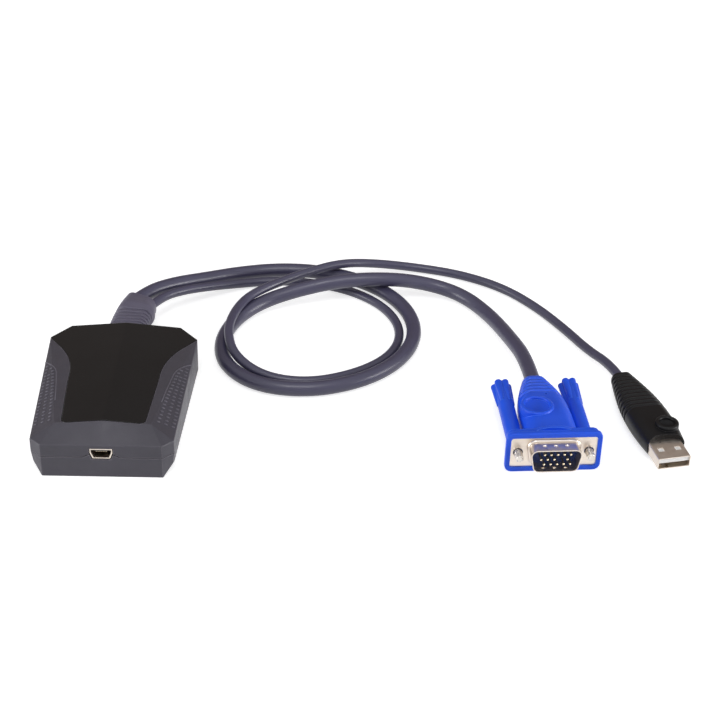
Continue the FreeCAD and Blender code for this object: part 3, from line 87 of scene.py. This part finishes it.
def place_of(tree, stretch=(1, 1, 1), turn=0.0):
    """Object coordinates, stretched so that a grain can run one way."""
    coords = tree.nodes.new("ShaderNodeTexCoord")
    mapping = tree.nodes.new("ShaderNodeMapping")
    mapping.inputs["Scale"].default_value = stretch
    mapping.inputs["Rotation"].default_value = (0, 0, turn)
    tree.links.new(coords.outputs["Object"], mapping.inputs["Vector"])
    return mapping.outputs["Vector"]


def noise(tree, where, size, detail=3.0):
    """Noise whose features are about the given size in metres."""
    node = tree.nodes.new("ShaderNodeTexNoise")
    node.inputs["Scale"].default_value = 1.0 / size
    node.inputs["Detail"].default_value = detail
    node.inputs["Roughness"].default_value = NOISE_ROUGHNESS
    tree.links.new(where, node.inputs["Vector"])
    return node.outputs["Fac"]


def between(tree, value, low, high):
    """Maps the middle of a noise's values to a range."""
    node = tree.nodes.new("ShaderNodeMapRange")
    node.inputs["From Min"].default_value = NOISE_LOW
    node.inputs["From Max"].default_value = NOISE_HIGH
    node.inputs["To Min"].default_value = low
    node.inputs["To Max"].default_value = high
    tree.links.new(value, node.inputs["Value"])
    return node.outputs["Result"]


def drift(tree, shader, where, colour, size, spread):
    """Lets the colour wander a little from place to place."""
    mix = tree.nodes.new("ShaderNodeMix")
    mix.data_type = "RGBA"
    mix.inputs["A"].default_value = tuple(c * (1 - spread) for c in colour) + (1,)
    mix.inputs["B"].default_value = tuple(min(c * (1 + spread), 1) for c in colour) + (1,)
    tree.links.new(between(tree, noise(tree, where, size), 0, 1), mix.inputs["Factor"])
    tree.links.new(mix.outputs["Result"], shader.inputs["Base Color"])
    return mix.outputs["Result"]


def soft_edges(tree, shader, colour, radius, edge_highlight):
    """Rounds the sharp edges to the eye and paints a lighter highlight colour along them."""
    edge = tree.nodes.new("ShaderNodeBevel")
    edge.samples = EDGE_SAMPLES
    edge.inputs["Radius"].default_value = radius
    flat = tree.nodes.new("ShaderNodeNewGeometry")
    turn = tree.nodes.new("ShaderNodeVectorMath")
    turn.operation = "DOT_PRODUCT"
    tree.links.new(edge.outputs["Normal"], turn.inputs[0])
    tree.links.new(flat.outputs["Normal"], turn.inputs[1])
    near = tree.nodes.new("ShaderNodeMapRange")
    near.inputs["From Min"].default_value = EDGE_NONE
    near.inputs["From Max"].default_value = EDGE_FULL
    tree.links.new(turn.outputs["Value"], near.inputs["Value"])
    # Painted highlight: a lighter colour along the edges, where the rounded normal turns away from the
    # flat one
    mix = tree.nodes.new("ShaderNodeMix")
    mix.data_type = "RGBA"
    mix.inputs["B"].default_value = edge_highlight + (1,)
    tree.links.new(near.outputs["Result"], mix.inputs["Factor"])
    tree.links.new(colour, mix.inputs["A"])
    tree.links.new(mix.outputs["Result"], shader.inputs["Base Color"])
    return edge.outputs["Normal"]


def bump(tree, shader, height, depth, under=None):
    """Raises a height in metres; can lie on the rounded edges' normal."""
    node = tree.nodes.new("ShaderNodeBump")
    node.inputs["Strength"].default_value = 1.0
    node.inputs["Distance"].default_value = depth
    tree.links.new(height, node.inputs["Height"])
    if under:
        tree.links.new(under, node.inputs["Normal"])
    tree.links.new(node.outputs["Normal"], shader.inputs["Normal"])


def moulded(name, colour, rough, grain, depth, spread=0.08, specular=0.5, edge=None, edge_highlight=None):
    """Moulded plastic or rubber: eroded grain, slow colour drift, uneven gloss, edges rounded to the eye
    with a painted highlight along them.
    """
    stuff, tree, shader = new_tree(name)
    where = place_of(tree)
    base = drift(tree, shader, where, colour, PLASTIC_DRIFT, spread)
    smudge = noise(tree, where, PLASTIC_SMUDGE)
    low, high = PLASTIC_GLOSS
    gloss = between(tree, smudge, rough * low, min(rough * high, 1))
    tree.links.new(gloss, shader.inputs["Roughness"])
    shader.inputs["Specular IOR Level"].default_value = specular
    rounded = soft_edges(tree, shader, base, edge, edge_highlight) if edge else None
    bump(tree, shader, noise(tree, where, grain, FINE_DETAIL), depth, rounded)
    return stuff


def metal(name, colour, rough, brush=(1, 1, 1)):
    """Plated or brushed metal with faint rolling lines and smudges."""
    stuff, tree, shader = new_tree(name)
    where = place_of(tree)
    lines = place_of(tree, brush)
    shader.inputs["Metallic"].default_value = 1.0
    drift(tree, shader, where, colour, METAL_DRIFT, METAL_SPREAD)
    low, high = METAL_GLOSS
    gloss = between(tree, noise(tree, where, METAL_SMUDGE), rough * low, rough * high)
    tree.links.new(gloss, shader.inputs["Roughness"])
    bump(tree, shader, noise(tree, lines, METAL_GRAIN), METAL_DEPTH)
    return stuff


def glossy_panel():
    """Near-black polished acrylic with hairline scratches."""
    # The edge colour is a painted highlight, lighter than the panel's black
    black, edge_highlight_black, edge_radius = (0.0135, 0.0135, 0.0145), (0.03, 0.03, 0.032), 0.00035
    drift_size, spread = 0.03, 0.1
    smudge_size, polished, smudged = 0.006, 0.1, 0.17
    hair_size, hair_stretch, hair_turn, hair_depth = 0.0003, 0.03, 0.5, 0.0000012
    stuff, tree, shader = new_tree("panel_gloss")
    where = place_of(tree)
    base = drift(tree, shader, where, black, drift_size, spread)
    rounded = soft_edges(tree, shader, base, edge_radius, edge_highlight_black)
    gloss = between(tree, noise(tree, where, smudge_size, FINE_DETAIL), polished, smudged)
    tree.links.new(gloss, shader.inputs["Roughness"])
    shader.inputs["Specular IOR Level"].default_value = 0.2
    hairs = place_of(tree, (1, hair_stretch, 1), hair_turn)
    bump(tree, shader, noise(tree, hairs, hair_size), hair_depth, rounded)
    return stuff


def threaded(name, axis_turn):
    """Zinc-plated screw steel with turned rings along its length."""
    steel, drift_size, spread = (0.66, 0.62, 0.57), 0.002, 0.12
    smudge_size, bright, dull = 0.001, 0.22, 0.38
    stuff, tree, shader = new_tree(name)
    where = place_of(tree, turn=-axis_turn)
    shader.inputs["Metallic"].default_value = 1.0
    drift(tree, shader, where, steel, drift_size, spread)
    gloss = between(tree, noise(tree, where, smudge_size), bright, dull)
    tree.links.new(gloss, shader.inputs["Roughness"])
    rings = tree.nodes.new("ShaderNodeTexWave")
    rings.bands_direction = "Y"
    rings.inputs["Scale"].default_value = 2 * math.pi / (THREAD_PITCH * WAVE_FACTOR)
    tree.links.new(where, rings.inputs["Vector"])
    bump(tree, shader, rings.outputs["Fac"], THREAD_DEPTH)
    return stuff


def circuit_board():
    """Green solder mask with faint copper tracks under it."""
    mask_green, track_green = (0.035, 0.17, 0.07, 1), (0.015, 0.1, 0.045, 1)
    cells_a_metre, grain, depth = 420, 0.0005, 0.00001
    stuff, tree, shader = new_tree("board_green")
    where = place_of(tree)
    cells = tree.nodes.new("ShaderNodeTexVoronoi")
    cells.feature = "DISTANCE_TO_EDGE"
    cells.inputs["Scale"].default_value = cells_a_metre
    tree.links.new(where, cells.inputs["Vector"])
    mix = tree.nodes.new("ShaderNodeMix")
    mix.data_type = "RGBA"
    mix.inputs["A"].default_value = mask_green
    mix.inputs["B"].default_value = track_green
    tree.links.new(between(tree, cells.outputs["Distance"], 0, 1), mix.inputs["Factor"])
    tree.links.new(mix.outputs["Result"], shader.inputs["Base Color"])
    shader.inputs["Roughness"].default_value = 0.35
    bump(tree, shader, noise(tree, where, grain), depth)
    return stuff


# The colours given for the edges below are painted highlights, lighter than each material's own colour
STUFF = {
    "case_plastic": moulded(
        "case_plastic", (0.053, 0.0495, 0.064), rough=0.47, grain=0.00032, depth=0.00005,
        specular=0.42, edge=0.0005, edge_highlight=(0.14, 0.13, 0.155)),
    # Painted highlight: the grip's bars are a lighter copy of the case's plastic
    "grip_highlight_plastic": moulded(
        "grip_highlight_plastic", (0.105, 0.098, 0.125), rough=0.42, grain=0.0003, depth=0.00001, spread=0.06),
    "panel_gloss": glossy_panel(),
    "cord_sheath": moulded(
        "cord_sheath", (0.053, 0.049, 0.093), rough=0.36, grain=0.0006, depth=0.00002,
        spread=0.06, specular=0.6),
    "relief_rubber": moulded(
        "relief_rubber", (0.105, 0.096, 0.14), rough=0.5, grain=0.0004, depth=0.00003,
        spread=0.07, specular=0.45, edge=0.0003, edge_highlight=(0.16, 0.15, 0.2)),
    "video_blue": moulded(
        "video_blue", (0.012, 0.09, 0.76), rough=0.42, grain=0.0005, depth=0.000018,
        spread=0.07, specular=0.35, edge=0.0004, edge_highlight=(0.05, 0.18, 0.85)),
    "boot_black": moulded(
        "boot_black", (0.0045, 0.0042, 0.005), rough=0.4, grain=0.0005, depth=0.00002,
        spread=0.12, specular=0.22, edge=0.0003, edge_highlight=(0.026, 0.024, 0.026)),
    "insulator_navy": moulded(
        "insulator_navy", (0.016, 0.038, 0.16), rough=0.45, grain=0.0004, depth=0.00002,
        spread=0.15, specular=0.3),
    "tongue_white": moulded(
        "tongue_white", (0.93, 0.92, 0.9), rough=0.4, grain=0.0004, depth=0.00001, spread=0.03),
    "chip_black": moulded("chip_black", (0.02, 0.02, 0.021), rough=0.5, grain=0.00025, depth=0.00002),
    "header_white": moulded("header_white", (0.7, 0.67, 0.6), rough=0.4, grain=0.0004, depth=0.00002),
    "capacitor_tan": moulded("capacitor_tan", (0.42, 0.3, 0.18), rough=0.5, grain=0.0003, depth=0.00002),
    "nickel": metal("nickel", (0.7, 0.625, 0.55), rough=0.32, brush=(1, 1, 12)),
    "gold_contact": metal("gold_contact", (0.66, 0.55, 0.38), rough=0.3),
    "steel_screw": threaded("steel_screw", PLUG_TURN),
    "board_green": circuit_board(),
}


def dress_nodes():
    """Gives every carried-over solid the material of its slot."""
    for part in frame["record"]["subparts"]:
        node = frame["nodes"][part["node"]]
        for slot in node.material_slots:
            slot.material = STUFF[part["material_slot"]]


# Cables, in millimetres. Each route runs from the strain relief to the plug's body and keeps
# clear of the table, of the other cable and of itself where it passes over

VIDEO_RADIUS = 2.85
COMPUTER_RADIUS = 1.8
CURVE_STEPS = 10
ROUND_STEPS = 7


def smooth_cable(name, points, radius):
    """One open smooth spline whose control points are the route's points."""
    data = bpy.data.curves.new(name, "CURVE")
    data.dimensions = "3D"
    spline = data.splines.new("NURBS")
    spline.points.add(len(points) - 1)
    for spot, (x, y, z) in zip(spline.points, points):
        spot.co = (x * MM, y * MM, z * MM, 1)
    spline.order_u = 3
    spline.use_endpoint_u = True
    spline.resolution_u = CURVE_STEPS
    data.bevel_depth = radius
    data.bevel_resolution = ROUND_STEPS
    data.use_fill_caps = True
    item = bpy.data.objects.new(name, data)
    bpy.context.scene.collection.objects.link(item)
    item.data.materials.append(STUFF["cord_sheath"])
    return item


VIDEO_ROUTE = [
    (-0.14, 65.84, 8.1), (3.8, 73.6, 8.1), (13.4, 82.4, 7.2), (27.0, 91.4, 4.9), (39.0, 99.6, 2.9),
    (54.5, 103.3, 2.86), (71.5, 102.6, 2.86), (88.0, 96.4, 2.86), (101.5, 84.5, 2.86),
    (109.6, 68.5, 2.86), (110.6, 50.5, 2.86), (103.5, 33.5, 2.86), (89.5, 20.2, 2.86),
    (70.5, 13.2, 2.86), (51.0, 15.8, 2.86), (38.3, 28.0, 2.86), (34.7, 44.2, 2.86),
    (38.6, 61.2, 2.86), (48.0, 74.0, 3.6), (61.5, 80.2, 6.0), (81.5, 84.8, 9.0),
    (102.5, 86.8, 9.0), (118.0, 90.2, 4.8), (131.0, 84.9, 2.95), (140.4, 70.6, 2.9),
    (146.9, 49.2, 5.6), (151.75, 29.25, 8.05), (152.94, 12.29, 8.05),
]

COMPUTER_ROUTE = [
    (6.29, 62.7, 8.1), (10.1, 70.5, 8.1), (18.4, 78.0, 7.0), (29.6, 85.4, 4.8), (40.5, 92.5, 2.1),
    (54.5, 95.9, 1.82), (70.5, 94.6, 1.82), (86.0, 88.5, 1.82), (98.0, 77.5, 1.82),
    (104.4, 63.5, 1.82), (104.4, 49.3, 1.82), (98.4, 36.4, 1.82), (86.2, 26.2, 1.82),
    (69.5, 19.9, 1.82), (52.9, 21.7, 2.9), (41.1, 31.1, 6.0), (37.6, 45.1, 8.0),
    (39.1, 59.0, 8.0), (44.0, 72.6, 7.8), (54.5, 83.1, 7.8), (67.2, 92.5, 8.0),
    (80.8, 100.2, 8.3), (95.5, 106.9, 4.8), (113.0, 108.6, 2.1), (131.0, 103.9, 1.82),
    (147.6, 93.9, 1.82), (160.2, 79.0, 1.82), (170.2, 61.7, 1.9), (177.3, 44.6, 3.0),
    (184.1, 32.4, 4.57), (187.01, 22.26, 4.57),
]


def lay_cable(node, route, radius):
    """A free cable in place of a solid one."""
    cable = smooth_cable(node.replace("cord", "cable"), route, radius * MM)
    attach(cable, BODY)
    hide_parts(node)


# Grips on the lid's side facets, in millimetres. The corners are those of the case's right half

EAVE = 13.2
RIDGE = (0.0, -30.4, 18.3)
CREASE = (16.6, -30.4, 16.769)
FRONT_CORNER = (24.7, -34.9, EAVE)
REAR_CORNER = (27.5, 30.5, EAVE)

# A bar's rings, 1.2 by 0.7 mm at the foot: half length, half width and height above the lid
BAR_RINGS = ((0.62, 0.36, -0.05), (0.56, 0.3, 0.13), (0.36, 0.15, 0.22))
BAR_SIDES = 12
BAR_ROWS = 18
BAR_START = -27.4
BAR_PITCH = 2.17
BORDER_GAP = 1.3
EAVE_GAP = 1.15
ROOM_FOR_THREE = 2.6
ROOM_FOR_TWO = 0.4

# The grip's border from its rear end forward, and how far it leans in from there on
BORDER = [
    (26.7, 12.9), (25.6, 11.9), (24.3, 10.2), (22.9, 8.3), (21.9, 6.6), (21.2, 4.2), (20.6, 0.0),
    (19.9, -5.0), (19.3, -10.0), (18.7, -15.3),
]
BORDER_LEAN = 0.1
LINE_FOOT = 0.3
LINE_TOP = 0.1
LINE_RISE = 0.16
LINE_SUNK = -0.05


def plane_through(a, b, c):
    """Height above the table of a plane through three points, as a function of place."""
    normal = (Vector(b) - Vector(a)).cross(Vector(c) - Vector(a))

    def height(x, y):
        return a[2] - (normal.x * (x - a[0]) + normal.y * (y - a[1])) / normal.z

    return height


facet_height = plane_through(CREASE, FRONT_CORNER, REAR_CORNER)
roof_height = plane_through(RIDGE, CREASE, REAR_CORNER)


def lid_height(x, y):
    """Height of the lid beside the panel."""
    return min(facet_height(x, y), roof_height(x, y))


def lid_vertex(mesh, side, x, y, rise):
    """A vertex over the lid; side -1 is the left half."""
    return mesh.verts.new((side * x * MM, y * MM, (lid_height(x, y) + rise) * MM))


def eave_side(y):
    """Half width of the case at the eave."""
    share = (y - FRONT_CORNER[1]) / (REAR_CORNER[1] - FRONT_CORNER[1])
    return FRONT_CORNER[0] + (REAR_CORNER[0] - FRONT_CORNER[0]) * share


def border_side(y):
    """Half width at which the grip's border runs."""
    for (x1, y1), (x2, y2) in zip(BORDER, BORDER[1:]):
        if y2 <= y <= y1:
            return x1 + (x2 - x1) * (y - y1) / (y2 - y1)
    end_x, end_y = BORDER[-1]
    return end_x + (y - end_y) * BORDER_LEAN


def add_bar(mesh, x, y, side):
    """A low rounded bar that lies across the lid's side facet."""
    loops = []
    for half_length, half_width, rise in BAR_RINGS:
        loop = []
        for step in range(BAR_SIDES):
            angle = 2 * math.pi * step / BAR_SIDES
            px = x + half_length * math.cos(angle)
            py = y + half_width * math.sin(angle)
            loop.append(lid_vertex(mesh, side, px, py, rise))
        loops.append(loop)
    for low, high in zip(loops, loops[1:]):
        for step in range(BAR_SIDES):
            after = (step + 1) % BAR_SIDES
            mesh.faces.new((low[step], low[after], high[after], high[step]))
    mesh.faces.new(loops[-1])
    mesh.faces.new(list(reversed(loops[0])))


def add_border(mesh, side):
    """A fine raised line round the rear of a grip, fading out to the front."""
    sections = []
    for step, (x, y) in enumerate(BORDER):
        top = LINE_RISE * (1 - step / len(BORDER))
        before = BORDER[max(step - 1, 0)]
        after = BORDER[min(step + 1, len(BORDER) - 1)]
        way = Vector((after[0] - before[0], after[1] - before[1])).normalized()
        outline = ((-LINE_FOOT, LINE_SUNK), (-LINE_TOP, top), (LINE_TOP, top), (LINE_FOOT, LINE_SUNK))
        sections.append([
            lid_vertex(mesh, side, x - way.y * off, y + way.x * off, rise) for off, rise in outline
        ])
    for here, there in zip(sections, sections[1:]):
        for step in range(len(here) - 1):
            mesh.faces.new((here[step], here[step + 1], there[step + 1], there[step]))
        mesh.faces.new((here[-1], here[0], there[0], there[-1]))
    mesh.faces.new(sections[0])
    mesh.faces.new(list(reversed(sections[-1])))


def bar_columns(y):
    """Half widths at which a row has its bars."""
    inner = border_side(y) + BORDER_GAP
    outer = eave_side(y) - EAVE_GAP
    if outer - inner > ROOM_FOR_THREE:
        return inner, (inner + outer) / 2, outer
    if outer - inner > ROOM_FOR_TWO:
        return inner, outer
    return (outer,)


def grip_bars():
    """Rows of short bars beside the panel, inside a fine border."""
    mesh = bmesh.new()
    for side in (-1, 1):
        add_border(mesh, side)
        for row in range(BAR_ROWS):
            y = BAR_START + row * BAR_PITCH
            for x in bar_columns(y):
                add_bar(mesh, x, y, side)
    bmesh.ops.recalc_face_normals(mesh, faces=mesh.faces)
    data = bpy.data.meshes.new("grip_bars")
    mesh.to_mesh(data)
    mesh.free()
    for face in data.polygons:
        face.use_smooth = True
    item = bpy.data.objects.new("grip_bars", data)
    bpy.context.scene.collection.objects.link(item)
    # The bars take the lighter plastic as a painted highlight
    data.materials.append(STUFF["grip_highlight_plastic"])
    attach(item, BODY)


# Floor, light and camera, in metres

FLOOR_REACH = 8.0
# Just under the table's plane, so that a face lying on it still shows
FLOOR_DROP = -0.00002
FLOOR_WHITE = 0.7
AMBIENT = 0.34
# In gloss the studio turns dark to the far side, but stays bright overhead
STUDIO_NEAR = (0.95, 0.95, 0.97, 1)
STUDIO_FAR = (0.27, 0.22, 0.19, 1)
FAR_BEGINS = -0.15
FAR_ENDS = 0.45
OVERHEAD = -0.6


def pale_ground():
    """Floor that shows white to the eye and in gloss, and still takes a soft shadow."""
    stuff = bpy.data.materials.new("pale_ground")
    stuff.use_nodes = True
    tree = stuff.node_tree
    tree.nodes.clear()
    out = tree.nodes.new("ShaderNodeOutputMaterial")
    matt = tree.nodes.new("ShaderNodeBsdfDiffuse")
    matt.inputs["Color"].default_value = (FLOOR_WHITE, FLOOR_WHITE, FLOOR_WHITE, 1)
    glow = tree.nodes.new("ShaderNodeEmission")
    rays = tree.nodes.new("ShaderNodeLightPath")
    seen = tree.nodes.new("ShaderNodeMath")
    seen.operation = "MAXIMUM"
    tree.links.new(rays.outputs["Is Camera Ray"], seen.inputs[0])
    tree.links.new(rays.outputs["Is Glossy Ray"], seen.inputs[1])
    level = tree.nodes.new("ShaderNodeMath")
    level.operation = "MULTIPLY"
    level.inputs[1].default_value = FLOOR_WHITE
    tree.links.new(seen.outputs["Value"], level.inputs[0])
    tree.links.new(level.outputs["Value"], glow.inputs["Strength"])
    both = tree.nodes.new("ShaderNodeAddShader")
    tree.links.new(matt.outputs["BSDF"], both.inputs[0])
    tree.links.new(glow.outputs["Emission"], both.inputs[1])
    tree.links.new(both.outputs["Shader"], out.inputs["Surface"])
    return stuff


def make_floor():
    """A wide level floor."""
    data = bpy.data.meshes.new("floor")
    reach = FLOOR_REACH
    corners = [(-reach, -reach, 0), (reach, -reach, 0), (reach, reach, 0), (-reach, reach, 0)]
    data.from_pydata(corners, [], [(0, 1, 2, 3)])
    item = bpy.data.objects.new("floor", data)
    item.location.z = FLOOR_DROP
    bpy.context.scene.collection.objects.link(item)
    data.materials.append(pale_ground())


def make_world():
    """White to the eye; in gloss a studio with a dark far side; faint light from all round."""
    world = bpy.data.worlds.new("studio")
    bpy.context.scene.world = world
    world.use_nodes = True
    tree = world.node_tree
    tree.nodes.clear()
    out = tree.nodes.new("ShaderNodeOutputWorld")
    seen = tree.nodes.new("ShaderNodeBackground")
    studio = tree.nodes.new("ShaderNodeBackground")
    rays = tree.nodes.new("ShaderNodeLightPath")
    way = tree.nodes.new("ShaderNodeTexCoord")
    parts = tree.nodes.new("ShaderNodeSeparateXYZ")
    tree.links.new(way.outputs["Generated"], parts.inputs["Vector"])
    far = tree.nodes.new("ShaderNodeMapRange")
    far.interpolation_type = "SMOOTHSTEP"
    far.inputs["From Min"].default_value = FAR_BEGINS
    far.inputs["From Max"].default_value = FAR_ENDS
    low = tree.nodes.new("ShaderNodeMath")
    low.operation = "MULTIPLY_ADD"
    low.inputs[1].default_value = OVERHEAD
    tree.links.new(parts.outputs["Z"], low.inputs[0])
    tree.links.new(parts.outputs["Y"], low.inputs[2])
    tree.links.new(low.outputs["Value"], far.inputs["Value"])
    walls = tree.nodes.new("ShaderNodeMix")
    walls.data_type = "RGBA"
    walls.inputs["A"].default_value = STUDIO_NEAR
    walls.inputs["B"].default_value = STUDIO_FAR
    tree.links.new(far.outputs["Result"], walls.inputs["Factor"])
    tree.links.new(walls.outputs["Result"], studio.inputs["Color"])
    level = tree.nodes.new("ShaderNodeMapRange")
    level.inputs["To Min"].default_value = AMBIENT
    level.inputs["To Max"].default_value = 1.0
    tree.links.new(rays.outputs["Is Glossy Ray"], level.inputs["Value"])
    tree.links.new(level.outputs["Result"], studio.inputs["Strength"])
    eye = tree.nodes.new("ShaderNodeMath")
    eye.operation = "MAXIMUM"
    tree.links.new(rays.outputs["Is Camera Ray"], eye.inputs[0])
    tree.links.new(rays.outputs["Is Transmission Ray"], eye.inputs[1])
    both = tree.nodes.new("ShaderNodeMixShader")
    tree.links.new(eye.outputs["Value"], both.inputs["Fac"])
    tree.links.new(studio.outputs["Background"], both.inputs[1])
    tree.links.new(seen.outputs["Background"], both.inputs[2])
    seen.inputs["Color"].default_value = (1, 1, 1, 1)
    tree.links.new(both.outputs["Shader"], out.inputs["Surface"])


def lamp(name, place, target, width, watts, glossy=True):
    """A soft square lamp that faces a target."""
    data = bpy.data.lights.new(name, "AREA")
    data.shape = "SQUARE"
    data.size = width
    data.energy = watts
    item = bpy.data.objects.new(name, data)
    item.location = place
    way = Vector(target) - Vector(place)
    item.rotation_euler = way.to_track_quat("-Z", "Y").to_euler()
    item.visible_glossy = glossy
    bpy.context.scene.collection.objects.link(item)


def make_lights():
    """A low lamp on each side, a soft one above and a faint one behind."""
    middle = (0.08, 0.03, 0.0)
    lamp("left_key", (-1.2, -0.38, 0.22), middle, width=0.6, watts=12.0)
    lamp("right_key", (1.35, -0.28, 0.18), middle, width=0.6, watts=13.0)
    lamp("top_soft", (0.05, -0.5, 1.2), middle, width=0.5, watts=4.6)
    lamp("rear_fill", (0.25, 1.2, 0.6), middle, width=0.9, watts=1.5, glossy=False)


def make_camera():
    """The photograph's viewpoint, fitted to the plugs' known sizes; sensor and lens in mm."""
    data = bpy.data.cameras.new("camera")
    data.sensor_width = 36.0
    data.lens = 82.68
    data.clip_start = 0.01
    data.clip_end = 50.0
    item = bpy.data.objects.new("camera", data)
    right = (0.999723, -0.002527, 0.023402)
    up = (-0.018326, 0.540371, 0.841227)
    back = (-0.014771, -0.841423, 0.540175)
    place = (0.079587, -0.496818, 0.344096)
    item.matrix_world = Matrix([
        (right[row], up[row], back[row], place[row]) for row in range(3)
    ] + [(0, 0, 0, 1)])
    bpy.context.scene.collection.objects.link(item)
    bpy.context.scene.camera = item


make_camera()
dress_nodes()
lay_cable("video_cord", VIDEO_ROUTE, VIDEO_RADIUS)
lay_cable("computer_cord", COMPUTER_ROUTE, COMPUTER_RADIUS)
grip_bars()
make_floor()
make_world()
make_lights()
bpy.context.scene.view_settings.view_transform = "Standard"
